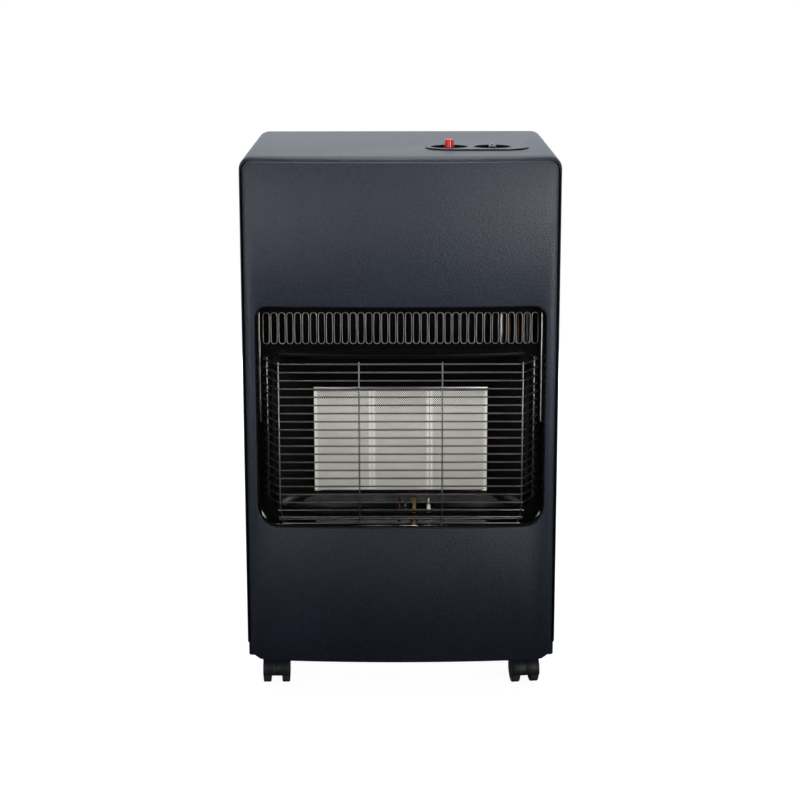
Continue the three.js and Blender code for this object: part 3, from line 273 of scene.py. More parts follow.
# %% [markdown]
# ## Metals
#
# The guard is bright plated wire, the pipes and the burner are plain steel, hidden sheets are
# galvanised with a faint crystal pattern, and gas fittings are brass. One grey for all of them would
# look like one casting. So each metal has its own two colours, its own roughness and the grain that
# its making left: along a drawn wire or a rolled sheet, round a turned fitting.


# %% Metals
def metal(name, dark, light, stain, worked, rough, relief):
    """A bare metal between two colours, with the grain that its making left."""
    recipe = Recipe(name)
    mixed, grain = stain(recipe), worked(recipe)
    recipe.set(Base_Color=recipe.blend(mixed, rgb(*dark), rgb(*light)), Metallic=1.0,
               Roughness=recipe.ramp(grain, 0.3, 0.7, *rough))
    return recipe.bump(grain, relief * MM).material


def galvanised():
    recipe = Recipe("galvanised")
    crystal = recipe.number("ShaderNodeTexVoronoi", {}, output="Color", Vector=recipe.place, Scale=130)
    fine = recipe.noise(800)
    recipe.set(Base_Color=recipe.blend(recipe.ramp(crystal, 0, 1), rgb(98, 101, 105), rgb(128, 131, 135)),
               Metallic=1.0, Roughness=recipe.ramp(0.6 * crystal + 0.4 * fine, 0, 1, 0.34, 0.56))
    return recipe.bump(fine, 0.04 * MM).material


def drawn_copper():
    recipe = Recipe("drawn_copper")
    dull = recipe.noise(80, detail=3)
    recipe.set(Base_Color=recipe.blend(dull, rgb(84, 54, 40), rgb(124, 82, 60)), Metallic=1.0,
               Roughness=recipe.ramp(dull, 0.3, 0.7, 0.26, 0.42))
    return recipe.bump(recipe.noise(900), 0.03 * MM).material


def painted_highlight_edge(name, dark, light):
    """Bright metal in place of glossy enamel on a thin edge: a painted highlight."""
    recipe = Recipe(name)
    patchy = recipe.noise(60)
    recipe.set(Base_Color=recipe.blend(patchy, rgb(*dark), rgb(*light)), Metallic=1.0,
               Roughness=recipe.ramp(patchy, 0.3, 0.7, 0.32, 0.46))
    return recipe.bump(patchy, 0.01 * MM).material


finishes["guard_wire"] = metal("bright_wire", (104, 103, 101), (136, 135, 133),
                               lambda recipe: recipe.noise(40),
                               lambda recipe: recipe.noise(420, detail=1), (0.3, 0.4), 0.003)
finishes["steel"] = metal("plain_steel", (128, 129, 131), (160, 160, 160),
                          lambda recipe: recipe.noise(22, detail=3),
                          lambda recipe: recipe.noise(500, detail=4, stretch=(0.06, 1, 1)),
                          (0.3, 0.46), 0.05)
finishes["brass"] = metal("turned_brass", (138, 112, 60), (176, 148, 88),
                          lambda recipe: recipe.noise(60, detail=3),
                          lambda recipe: recipe.noise(900, stretch=(0.3, 0.3, 1)), (0.24, 0.4), 0.04)
finishes["zinc"] = galvanised()
finishes["copper"] = drawn_copper()
# Painted highlight: the bead and the slot rims are bright metal in place of black enamel.
painted_bead_highlight = painted_highlight_edge("painted_bead_highlight", (186, 185, 182), (236, 235, 231))
painted_rim_highlight = painted_highlight_edge("painted_rim_highlight", (140, 139, 136), (172, 171, 168))
print("metals", [finishes[slot].name for slot in ("guard_wire", "steel", "brass", "zinc", "copper")])

# %% [markdown]
# ## Ceramic, plastics and a painted shadow
#
# The plaques are fired fibre ceramic: matt, warm white and slightly chalky. They are darker inside the
# holes: painted shade, found by the same measure of openness that shades the paint's seams. Moulded
# plastics have a spark-eroded grain from their mould. The nylon treads are duller where they have
# rolled, and the near-black of the panel's painted gap shadow has no shine at all.


# %% Ceramic, plastics and a painted shadow
def fired_ceramic():
    recipe = Recipe("fired_ceramic")
    chalk = recipe.noise(1100, detail=3)
    firing = recipe.noise(35, detail=3)
    tone = recipe.ramp(0.5 * chalk + 0.5 * firing, 0.35, 0.65)
    # Painted shade: the ceramic goes brown-grey inside the holes, where little of the room is in sight.
    painted_hole_shade = recipe.ramp(recipe.openness(4 * MM), 0.35, 0.8)
    chalky = recipe.blend(tone, rgb(236, 231, 220), rgb(250, 247, 239))
    recipe.set(Base_Color=recipe.blend(painted_hole_shade, rgb(92, 86, 76), chalky), Roughness=0.95)
    return recipe.bump(chalk, 0.12 * MM).material


def glazed_porcelain():
    recipe = Recipe("glazed_porcelain")
    tone = recipe.noise(120)
    recipe.set(Base_Color=recipe.blend(tone, rgb(228, 226, 218), rgb(244, 243, 238)), Roughness=0.15)
    return recipe.bump(tone, 0.05 * MM).material


def moulded(name, dark, light, low, high, grain_scale=1400):
    """A moulded plastic between two colours and two roughnesses."""
    recipe = Recipe(name)
    grain = recipe.noise(grain_scale)
    cloud = recipe.noise(50)
    recipe.set(Base_Color=recipe.blend(0.5 * grain + 0.5 * cloud, rgb(*dark), rgb(*light)),
               Roughness=recipe.ramp(grain, 0.3, 0.7, low, high))
    return recipe.bump(grain, 0.06 * MM).material


# Painted shadow: a near-black without shine, for the cord in the panel's gap.
def gap_shadow_finish():
    recipe = Recipe("painted_gap_shadow")
    nap = recipe.noise(1800)
    recipe.set(Base_Color=recipe.blend(nap, rgb(6, 6, 7), rgb(16, 16, 18)), Roughness=1.0,
               Specular_IOR_Level=0.0)
    return recipe.bump(nap, 0.05 * MM).material


finishes["plaque"] = fired_ceramic()
finishes["porcelain"] = glazed_porcelain()
finishes["black_plastic"] = moulded("black_plastic", (20, 22, 26), (34, 36, 42), 0.4, 0.52)
finishes["red_plastic"] = moulded("red_plastic", (206, 30, 28), (228, 44, 38), 0.2, 0.3, 500)
finishes["pointer"] = moulded("pointer_inlay", (132, 127, 114), (158, 152, 138), 0.45, 0.6)
finishes["wheel"] = moulded("nylon_tread", (52, 53, 56), (76, 77, 80), 0.5, 0.7)
finishes["lead_cover"] = moulded("silicone_sleeve", (120, 123, 128), (146, 149, 153), 0.5, 0.65)
painted_gap_shadow = gap_shadow_finish()
print("finishes", len(finishes))

# %% [markdown]
# ## Picking and selecting
#
# By hand, faces and edges are picked with the mouse. In code they are picked by their place, with a
# test on the middle of each one, so the same ones are found again whenever the script runs. An
# operator works on everything that is selected, so each step starts from nothing selected.


# %% Picking and selecting
def object_mode():
    bpy.ops.object.mode_set(mode="OBJECT")


def pick(piece):
    """Makes a piece the only one selected, and the active one."""
    if bpy.context.object and bpy.context.object.mode != "OBJECT":
        object_mode()
    bpy.ops.object.select_all(action="DESELECT")
    piece.select_set(True)
    bpy.context.view_layer.objects.active = piece
    return piece


def select(piece, kind, test):
    """In edit mode, selects the faces, edges or points whose middle passes the test."""
    bpy.ops.object.mode_set(mode="EDIT")
    bpy.ops.mesh.select_mode(type={"verts": "VERT", "edges": "EDGE", "faces": "FACE"}[kind])
    bpy.ops.mesh.select_all(action="DESELECT")
    mesh = bmesh.from_edit_mesh(piece.data)
    for part in getattr(mesh, kind):
        if kind == "verts":
            middle = part.co
        else:
            middle = sum((v.co for v in part.verts), Vector()) / len(part.verts)
        if test(piece.matrix_world @ middle):
            part.select_set(True)
    mesh.select_flush_mode()
    bmesh.update_edit_mesh(piece.data)


def select_all(piece):
    pick(piece)
    bpy.ops.object.mode_set(mode="EDIT")
    bpy.ops.mesh.select_all(action="SELECT")


body_of = {node: body
           for body, nodes in frame["record"]["behaviour"]["bodies"].items() for node in nodes}
slot_of = {row["node"]: row["material_slot"] for row in frame["record"]["subparts"]}

# %% [markdown]
# ## Modifiers, copies and a finished piece
#
# A bevel could be set by hand on each edge, but a modifier finds every sharp edge by its angle. It is
# applied at once, so the mesh is what the eye sees. A finished piece keeps its place in its mesh, with
# its object at the origin, and it gets a finish from its slot and a body that it rides on.


# %% Modifiers, copies and a finished piece
def modified(piece, kind, **settings):
    """Adds a modifier with its settings, and applies it."""
    pick(piece)
    bpy.ops.object.modifier_add(type=kind)
    modifier = piece.modifiers[-1]
    for key, value in settings.items():
        setattr(modifier, key, value)
    bpy.ops.object.modifier_apply(modifier=modifier.name)
    return piece


def rounded_edges(piece, width, angle=35):
    """Softens every edge sharper than the angle."""
    return modified(piece, "BEVEL", width=width, segments=2, limit_method="ANGLE",
                    angle_limit=math.radians(angle), use_clamp_overlap=True)


def placed(piece):
    """Puts a piece's place, turn and scale in its mesh."""
    pick(piece)
    bpy.ops.object.transform_apply(location=True, rotation=True, scale=True)
    return piece


def settled(piece, name, body, slot, smooth=35):
    """A finished piece, smooth up to an angle, handed to its body and its finish."""
    placed(piece)
    piece.name = name
    piece.data.name = name
    bpy.ops.object.shade_smooth_by_angle(angle=math.radians(smooth))
    piece.data.materials.clear()
    piece.data.materials.append(finishes[slot])
    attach(piece, body)
    return piece


def copies(piece, moves):
    """Copies of a piece, each with its own mesh, moved by each of the given steps."""
    made = []
    for move in moves:
        pick(piece)
        bpy.ops.object.duplicate(linked=False)
        twin = bpy.context.object
        twin.location = twin.location + Vector(move)
        made.append(twin)
    return made


def joined(pieces):
    """One piece out of several."""
    pick(pieces[0])
    for piece in pieces:
        piece.select_set(True)
    bpy.ops.object.join()
    return bpy.context.object


UPRIGHT = (math.pi / 2, 0, 0)
ALONG_AXLE = (0, math.pi / 2, 0)

# %% [markdown]
# ## Flat sheets and hidden parts
#
# Brackets, pans and rails are right as the CAD has them. They could be modelled again, but only their
# finish would be new, so every CAD node first gets the finish of its slot.

# %% Finish every CAD node
for node, piece in frame["nodes"].items():
    piece.data.materials.clear()
    piece.data.materials.append(finishes[slot_of[node]])
print("finished", len(frame["nodes"]), "nodes")

# %% [markdown]
# ## Bent, pressed and turned parts
#
# The CAD gives each of these as loose triangles with hard facets. Their shape is right, so they aren't
# modelled again. A copy is merged, its flat areas become single faces, its sharp edges get a fine
# bevel as cut and enamelled metal has, and its curves are shaded smooth up to an angle.


# %% Smooth copies of curved CAD parts
FLAT = math.radians(0.05)
WELD_POINTS = 0.001 * MM


def refined(node, name, bevel, smooth):
    """A merged copy of a CAD node with soft edges and smooth curves. It stands for the node."""
    piece = bpy.data.objects.new(name, frame["nodes"][node].data.copy())
    bpy.context.scene.collection.objects.link(piece)
    pick(piece)
    bpy.ops.mesh.customdata_custom_splitnormals_clear()
    select_all(piece)
    bpy.ops.mesh.remove_doubles(threshold=WELD_POINTS)
    bpy.ops.mesh.dissolve_limited(angle_limit=FLAT)
    object_mode()
    if bevel:
        rounded_edges(piece, bevel * MM)
    settled(piece, name, body_of[node], slot_of[node], smooth)
    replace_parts(piece, node)
    return piece


# The new name, the bevel in millimetres and the largest angle that is shaded smooth.
refined_parts = {
    "side_and_top_shell": ("cabinet_wrap", 0, 40),
    "front_panel": ("bowed_front", 0, 40),
    "fire_surround": ("slotted_surround", 0, 40),
    "heat_deflector": ("deflector_hood", 0.3, 40),
    "reflector": ("reflector_bowl", 0, 25),
    "plaque_rail_top": ("upper_plaque_rail", 0.3, 35),
    "plaque_rail_bottom": ("lower_plaque_rail", 0.3, 35),
    "rear_cover": ("vented_rear_cover", 0.3, 30),
    "control_bezel": ("control_plate", 0.5, 40),
    "control_knob": ("tap_knob", 0.8, 40),
    "knob_pointer": ("tap_pointer", 0.3, 40),
    "igniter_button": ("igniter_push", 0.6, 50),
    "igniter_body": ("igniter_case", 0.4, 50),
    "gas_valve": ("gas_tap_body", 0.6, 50),
    "hose_tail": ("barbed_inlet", 0.2, 50),
    "valve_spindle": ("tap_spindle", 0.3, 50),
    "pilot_burner": ("pilot_jet", 0.2, 50),
    "spark_electrode": ("spark_rod", 0.2, 50),
    "thermocouple": ("thermocouple_and_lead", 0, 50),
    "ignition_lead": ("spark_lead", 0, 60),
    "pilot_pipe": ("pilot_feed", 0, 60),
    "burner_pipe": ("burner_feed", 0, 60),
    "gas_manifold": ("gas_rail", 0.3, 40),
    "burner_plenum": ("mixing_chamber", 0.4, 45),
    "injector_left": ("jet_left", 0, 50),
    "injector_centre": ("jet_centre", 0, 50),
    "injector_right": ("jet_right", 0, 50),
}
dressed = {}
for node, (name, bevel, smooth) in refined_parts.items():
    dressed[node] = refined(node, name, bevel, smooth)
    print(name, "faces", len(dressed[node].data.polygons))

# %% [markdown]
# ## Sheets near the fire, and two flat sheets
#
# The bowl and its hood share a slot with cooler enamel, so they get their duller finish here. The
# galvanised shield behind the outlet slots takes the hood's black: painted shade. The rear cover and
# the control plate are broad flat faces with narrow bevels. Smooth shading averages both, which shows
# as false triangles of light. More cuts would cure it. Weighted normals do too, without a new face,
# because the broader face has the greater say.

# %% Heated enamel, painted shade on the shield and weighted normals
dressed["reflector"].data.materials[0] = bowl_enamel
dressed["heat_deflector"].data.materials[0] = matt_enamel_and_shade
# Painted shade: the galvanised shield behind the slots is given black enamel.
frame["nodes"]["heat_shield"].data.materials[0] = matt_enamel_and_shade
for node in ("rear_cover", "control_bezel"):
    flat_sheet = modified(dressed[node], "WEIGHTED_NORMAL", keep_sharp=True)
    print(flat_sheet.name, "shaded by its broad faces")

# %% [markdown]
# ## Wells of the control plate
#
# The knob and the button stand in two round cups that are black inside. The real plate is painted with
# its cups masked. Two finishes on one mesh do the same: faces in a cup, below the plate's top, take
# the second one.

# %% Blacken the wells
WELL_RADIUS = 25.3 * MM
PAINT_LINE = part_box("control_bezel")[1].z - 0.6 * MM
well_boxes = [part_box(node) for node in ("igniter_button", "control_knob")]
well_centres = [(low + high) / 2 for low, high in well_boxes]
plate = dressed["control_bezel"].data
plate.materials.append(finishes["black_plastic"])
black_faces = 0
for face in plate.polygons:
    x, y, z = face.center
    inside = any(math.hypot(x - middle.x, y - middle.y) < WELL_RADIUS for middle in well_centres)
    if inside and z < PAINT_LINE:
        face.material_index = 1
        black_faces += 1
print("black faces in the wells", black_faces)

# %% [markdown]
# ## Drawing a wire
#
# The real guard is made of straight lengths of wire, bent in a jig and spot welded. A curve with a
# round section would give a wire quickly, but its section turns as it likes. Here a wire is drawn out
# as in the jig: a round end face is extruded along the path, and turned a little at each step of a
# bend, about the bend's own axis.


# %% Draw a wire along a path
WIRE = 1.05 * MM


def tilt_selected(before, after, centre):
    """Turns what is selected from one direction to another, about a point."""
    axis, angle = before.rotation_difference(after).to_axis_angle()
    if abs(angle) < 1e-6:
        return
    side = axis.orthogonal().normalized()
    basis = Matrix((side, axis.cross(side), axis)).transposed()
    bpy.ops.transform.rotate(value=-angle, orient_axis="Z", orient_type="GLOBAL",
                             orient_matrix=basis, orient_matrix_type="GLOBAL",
                             center_override=centre)


def wire(path, radius=WIRE, sides=12):
    """A round wire along a path. Its section turns with the path about the bend's own axis."""
    first = (path[1] - path[0]).normalized()
    turn = Vector((0, 0, 1)).rotation_difference(first)
    bpy.ops.mesh.primitive_circle_add(vertices=sides, radius=radius, fill_type="NGON",
                                      location=path[0], rotation=turn.to_euler())
    piece = placed(bpy.context.object)
    bpy.ops.object.mode_set(mode="EDIT")
    bpy.ops.mesh.select_mode(type="FACE")
    bpy.ops.mesh.select_all(action="SELECT")
    for i in range(1, len(path)):
        step = {"value": path[i] - path[i - 1]}
        bpy.ops.mesh.extrude_region_move(TRANSFORM_OT_translate=step)
        if i + 1 < len(path):
            into = (path[i] - path[i - 1]).normalized()
            out = (path[i + 1] - path[i]).normalized()
            behind = into if i == 1 else (path[i - 1] - path[i - 2]).normalized() + into
            tilt_selected(behind.normalized(), (into + out).normalized(), path[i])
    bpy.ops.mesh.select_all(action="SELECT")
    bpy.ops.mesh.normals_make_consistent(inside=False)
    object_mode()
    return piece


def bent(corners, radius, steps=5):
    """Rounds the inner corners of a path."""
    path = [corners[0]]
    for before, corner, after in zip(corners, corners[1:], corners[2:]):
        into = (corner - before).normalized()
        out = (after - corner).normalized()
        angle = into.angle(out)
        side = (out - into * into.dot(out)).normalized()
        start = corner - into * radius * math.tan(angle / 2)
        for k in range(steps + 1):
            turn = angle * k / steps
            path.append(start + into * radius * math.sin(turn) + side * radius * (1 - math.cos(turn)))
    path.append(corners[-1])
    return path


def point(x, y, z):
    """A point of the CAD's drawing, in millimetres from the front flange."""
    return Vector((x * MM, FLANGE_Y + y * MM, z * MM))


print("a wire is", round(2 * WIRE / MM, 2), "mm thick")

# %% [markdown]
# ## Wire guard
#
# The guard keeps hands off the fire. Its level wires are bent back at both ends, and its foot curls
# back under the opening. The level wire is modelled once and copied up the guard, all but the lowest
# three, which are short and follow the curl. Each upright is drawn by itself along the curl, a weld's
# depth behind the level wires.


# %% Bend and weld the guard
# Lengths here are in millimetres of the CAD's drawing, as point() takes them.
PITCH = 11.07
BOTTOM = 244.4
FACE = -22.25
HALF = 163.0
SPLAY = 20.0
CURL = 34.0
CURL_BACK = 15
CURL_IN = 5
CURL_STEPS = 8
FOOT_BACK = 5
FOOT_DROP = 0.2
SHORT = 3
COUNT = 21
WELD = 1.9
BEND = 5 * MM
OVERHANG = 2.4
INNER_UPRIGHT = 55
TIE_SHARE = 0.84
SURROUND_BACK = 18


def curl(z):
    """How far the guard has curled back at a height, from 0 to 1."""
    return max(0.0, (BOTTOM + CURL - z) / CURL) ** 2


def edge_x(z):
    return HALF - CURL_IN * curl(z)


def face_y(z):
    return FACE + CURL_BACK * curl(z)


def upright(x_at, top):
    """A wire behind the level ones, curled back with them, its foot turned under."""
    heights = [top, *[BOTTOM + CURL * (1 - k / CURL_STEPS) for k in range(CURL_STEPS + 1)]]
    path = [point(x_at(z), face_y(z) + WELD, z) for z in heights]
    path.append(point(x_at(BOTTOM), face_y(BOTTOM) + WELD + FOOT_BACK, BOTTOM - FOOT_DROP))
    return wire(path)


def wire_guard():
    heights = [BOTTOM + i * PITCH for i in range(COUNT)]
    wires = []
    for z in heights[:SHORT]:
        x = edge_x(z) + WELD
        wires.append(wire([point(-x, face_y(z), z), point(x, face_y(z), z)]))
    back = SURROUND_BACK - 1.5
    level = [point(x, y, heights[SHORT]) for x, y in ((-HALF - SPLAY, back), (-HALF, FACE),
                                                      (HALF, FACE), (HALF + SPLAY, back))]
    level = wire(bent(level, BEND))
    wires += [level, *copies(level, [(0, 0, i * PITCH * MM) for i in range(1, COUNT - SHORT)])]
    top = heights[-1] + OVERHANG
    for side in (-1, 1):
        wires.append(upright(lambda z: side * (edge_x(z) - WELD), top))
        wires.append(upright(lambda z: side * INNER_UPRIGHT, top))
        tie_x = side * (HALF + SPLAY * TIE_SHARE - WELD)
        tie_y = FACE + (SURROUND_BACK - 0.3 - FACE) * TIE_SHARE
        wires.append(wire([point(tie_x, tie_y, heights[SHORT] - OVERHANG), point(tie_x, tie_y, top)]))
    guard = rounded_edges(joined(wires), 0.35 * MM, 60)
    settled(guard, "guard_wires", "cabinet", "guard_wire", 50)
    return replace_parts(guard, "wire_guard")


guard = wire_guard()
print("guard faces", len(guard.data.polygons))

# %% [markdown]
# ## Painted shadow in the panel's gap
#
# The deep corner where the front panel meets the cabinet is in shade and shows as a dark line round
# the panel. A thin cord of matt near-black lies in that corner: a painted shadow. Darker paint in the
# gap would vanish from the side, so the cord is a piece. It is drawn like a wire, with a second cord
# down each side, where the gap is wider.


# %% Lay the shadow cord
SHADE_CORD = 0.85 * MM
SHADE_CORD_SIDES = 8
SHADE_CORD_OUTSET = 0.75
SHADE_CORD_CORNER = 13.7 * MM
SHADE_CORD_Y, SECOND_Y = -1.15, -1.0
SHADE_CORD_FOOT, SECOND_FOOT = 74, 80
SECOND_DROP = 15


def shadow_gap_cord():
    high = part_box("front_panel")[1]
    x = high.x / MM + SHADE_CORD_OUTSET
    top = high.z / MM + SHADE_CORD_OUTSET
    corners = [point(at, SHADE_CORD_Y, z)
               for at, z in ((-x, SHADE_CORD_FOOT), (-x, top), (x, top), (x, SHADE_CORD_FOOT))]
    cords = [wire(bent(corners, SHADE_CORD_CORNER, 10), SHADE_CORD, SHADE_CORD_SIDES)]
    for side in (-1, 1):
        second = [point(side * (x + 1.0), SECOND_Y, z) for z in (SECOND_FOOT, top - SECOND_DROP)]
        cords.append(wire(second, SHADE_CORD, SHADE_CORD_SIDES))
    return settled(joined(cords), "shadow_gap_cord", "cabinet", "black_plastic", 60)


shadow_cord = shadow_gap_cord()
# Painted shadow: the cord is near-black and matt, where the gap is only in shade.
shadow_cord.data.materials[0] = painted_gap_shadow
print("seal faces", len(shadow_cord.data.polygons))

# %% [markdown]
# ## One hole of a ceramic plaque
#
# Each plaque is pierced by rows of fine holes, set in a staggered pattern, inside a plain margin. The
# holes could be cut with Booleans, which is slow and leaves ragged faces for thousands of them. So one
# hole is modelled in a small tile: a square rim is bridged to a round one, and the round one is pushed
# in and closed.


# %% Pierce one tile
HOLE_PITCH = 2.6 * MM
ROW_PITCH = 1.6 * MM
HOLE = 0.76 * MM
HOLE_SIDES = 6
HOLE_DEPTH = 6 * MM
HOLE_PLACE = (HOLE_PITCH / 2, 0, ROW_PITCH / 2)


def flat_tile(width, middle):
    """A flat piece as high as a row, facing forwards."""
    bpy.ops.mesh.primitive_plane_add(size=1, location=middle, rotation=UPRIGHT)
    tile = bpy.context.object
    tile.scale = (width, ROW_PITCH, 1)
    return placed(tile)


def pierced_tile():
    """One hole in a flat tile that faces forwards, with its lower left corner at the origin."""
    tile = flat_tile(HOLE_PITCH, HOLE_PLACE)
    bpy.ops.object.mode_set(mode="EDIT")
    bpy.ops.mesh.select_mode(type="FACE")
    bpy.ops.mesh.select_all(action="SELECT")
    bpy.ops.mesh.delete(type="ONLY_FACE")
    select(tile, "edges", lambda p: abs(p.x - HOLE_PITCH / 2) < 1e-6)
    bpy.ops.mesh.subdivide(number_cuts=1)
    object_mode()
    bpy.ops.mesh.primitive_circle_add(vertices=HOLE_SIDES, radius=HOLE, location=HOLE_PLACE,
                                      rotation=UPRIGHT)
    tile = joined([tile, placed(bpy.context.object)])
    bpy.ops.object.mode_set(mode="EDIT")
    bpy.ops.mesh.select_mode(type="EDGE")
    bpy.ops.mesh.select_all(action="SELECT")
    bpy.ops.mesh.bridge_edge_loops()
    select(tile, "edges",
           lambda p: math.hypot(p.x - HOLE_PITCH / 2, p.z - ROW_PITCH / 2) < 0.9 * HOLE)
    bpy.ops.mesh.extrude_region_move(TRANSFORM_OT_translate={"value": (0, HOLE_DEPTH, 0)})
    bpy.ops.mesh.edge_face_add()
    bpy.ops.mesh.select_all(action="SELECT")
    bpy.ops.mesh.normals_make_consistent(inside=False)
    object_mode()
    return tile


tile = pierced_tile()
print("one hole has", len(tile.data.polygons), "faces")

# %% [markdown]
# ## A field of holes
#
# The die that pierces a plaque repeats one hole. Array modifiers do the same here, which is quicker
# than copies: the tile becomes a row, a second row is set half a step aside, half tiles fill the ends
# of the shorter row, and the two rows repeat up the plaque.


# %% Repeat the tile
COLUMNS = 27
ROWS = 86


def repeated(piece, count, step):
    """An applied array modifier."""
    return modified(piece, "ARRAY", use_relative_offset=False, use_constant_offset=True,
                    constant_offset_displace=step, count=count)


def plaque_field(tile):
    """The pierced field, with the half tiles that even out its staggered rows."""
    shifted = copies(tile, [(HOLE_PITCH / 2, 0, ROW_PITCH)])[0]
    repeated(tile, COLUMNS, (HOLE_PITCH, 0, 0))
    repeated(shifted, COLUMNS - 1, (HOLE_PITCH, 0, 0))
    ends = [flat_tile(HOLE_PITCH / 2, (x, 0, 1.5 * ROW_PITCH))
            for x in (HOLE_PITCH / 4, (COLUMNS - 0.25) * HOLE_PITCH)]
    return repeated(joined([tile, shifted, *ends]), ROWS // 2, (0, 0, 2 * ROW_PITCH))


field = plaque_field(tile)
print("field faces", len(field.data.polygons))

# %% [markdown]
# ## Three plaques
#
# A plaque is a block with a plain margin round its field. The block's front is inset, drawn out to the
# field's own size and sunk behind the holes, so no plain face lies behind an open one. The field is
# then copied into the recess. Each plaque gets its own copy, as each real one is a tile of its own.


# %% Make the plaques
MARGIN = 3.9 * MM
BEHIND_HOLES = 0.5 * MM


def plaque(node, name):
    low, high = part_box(node)
    size = high - low
    bpy.ops.mesh.primitive_cube_add(size=1, location=(low + high) / 2)
    block = bpy.context.object
    block.scale = size
    placed(block)
    select(block, "faces", lambda p: p.y < low.y + 1e-5)
    bpy.ops.mesh.inset(thickness=MARGIN)
    width, height = COLUMNS * HOLE_PITCH, ROWS * ROW_PITCH
    bpy.ops.transform.resize(
        value=(width / (size.x - 2 * MARGIN), 1, height / (size.z - 2 * MARGIN)),
        center_override=(low + high) / 2)
    sink = {"value": (0, HOLE_DEPTH + BEHIND_HOLES, 0)}
    bpy.ops.mesh.extrude_region_move(TRANSFORM_OT_translate=sink)
    object_mode()
    rounded_edges(block, 0.5 * MM, 80)
    corner = (low.x + (size.x - width) / 2, low.y, low.z + (size.z - height) / 2)
    piece = joined([block, copies(field, [corner])[0]])
    settled(piece, name, "cabinet", "plaque", 30)
    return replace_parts(piece, node)


for side in ("left", "centre", "right"):
    made = plaque(f"ceramic_plaque_{side}", f"pierced_plaque_{side}")
    print(made.name, "faces", len(made.data.polygons))
bpy.data.objects.remove(field)

# %% [markdown]
# ## Rims of the outlet slots
#
# Warm air leaves through a row of slots above the fire. Each is pressed with a raised rim, which
# stiffens the sheet. Its finish is a bright metal in place of the black enamel, so it shows two thin
# lines of painted highlight. A bevel on the slot's edge would be too small to see, so the rim is a
# ring: a torus is pulled apart at its middle, and copied along the row.


# %% Press the slot rims
SLOT_WIDTH = 7.2
SLOT_LOW, SLOT_HIGH = 486, 527
SLOT_COUNT = 35
SLOT_PITCH = 10.5
RIM = 0.5 * MM
RIM_OUTSET = 0.55


def slot_rims():
    first = point(-SLOT_PITCH * (SLOT_COUNT - 1) / 2, SURROUND_BACK, (SLOT_LOW + SLOT_HIGH) / 2)
    bpy.ops.mesh.primitive_torus_add(major_radius=(SLOT_WIDTH / 2 + RIM_OUTSET) * MM,
                                     minor_radius=RIM, major_segments=20, minor_segments=8,
                                     location=first, rotation=UPRIGHT)
    rim = placed(bpy.context.object)
    stretch = (SLOT_HIGH - SLOT_LOW - SLOT_WIDTH) / 2 * MM
    for up in (1, -1):
        select(rim, "verts", lambda p: up * (p.z - first.z) > 1e-6)
        bpy.ops.transform.translate(value=(0, 0, up * stretch))
    object_mode()
    rims = [rim, *copies(rim, [(i * SLOT_PITCH * MM, 0, 0) for i in range(1, SLOT_COUNT)])]
    return settled(joined(rims), "outlet_slot_rims", "cabinet", "guard_wire", 60)


rims = slot_rims()
# Painted highlight: the rims take bright metal in place of black enamel.
rims.data.materials[0] = painted_rim_highlight
print("rim faces", len(rims.data.polygons))

# %% [markdown]
# ## Bead of the surround
#
# Where the surround's wall turns into its back, a thin bright line runs down both sides from the top
# corners. It is a painted highlight: a small raised bead in bright metal, drawn like a wire and half
# sunk in the bend. A bevel on the sheet would keep the black enamel and not show the line.


# %% Press the bead
BEAD = 1.1 * MM
BEAD_X, BEAD_Y = 187.9, 15.6
BEAD_HEIGHTS = (515, 440, 380)
CORNER_X, CORNER_Z = 173.6, 534.5
CORNER_WIDTH, CORNER_HEIGHT = 14, 13.5
CORNER_TURNS = [math.radians(k * 10) for k in range(1, 10)]


def highlight_bead():
    lines = []
    for side in (-1, 1):
        arc = [point(side * (CORNER_X + CORNER_WIDTH * math.sin(turn)), BEAD_Y,
                     CORNER_Z + CORNER_HEIGHT * math.cos(turn)) for turn in CORNER_TURNS]
        down = [point(side * BEAD_X, BEAD_Y, z) for z in BEAD_HEIGHTS]
        lines.append(wire([*arc, *down], BEAD))
    return settled(joined(lines), "highlight_bead", "cabinet", "enamel", 60)


bead = highlight_bead()
# Painted highlight: the bead takes bright metal in place of black enamel.
bead.data.materials[0] = painted_bead_highlight
print("bead faces", len(bead.data.polygons))

# %% [markdown]
# ## Caster wheel
#
# Two nylon wheels turn on one axle under each caster's hood. A profile could be spun into a wheel.
# Here a disc is shaped instead, as on a lathe: its outer face is inset and pushed in step by step, to
# leave a rim, a dish and a hub, and a bore joins both faces.


# %% Mould a wheel
WHEEL_RADIUS = 20 * MM
WHEEL_WIDTH = 10 * MM
BORE_RADIUS = 2.6 * MM
# Each step of the outer face, in millimetres: how far in towards the bore, and how far out.
WHEEL_STEPS = ((3.6, 0), (0.9, -1.5), (6.2, 0.3), (0.6, 1.2), (6.1, 0))


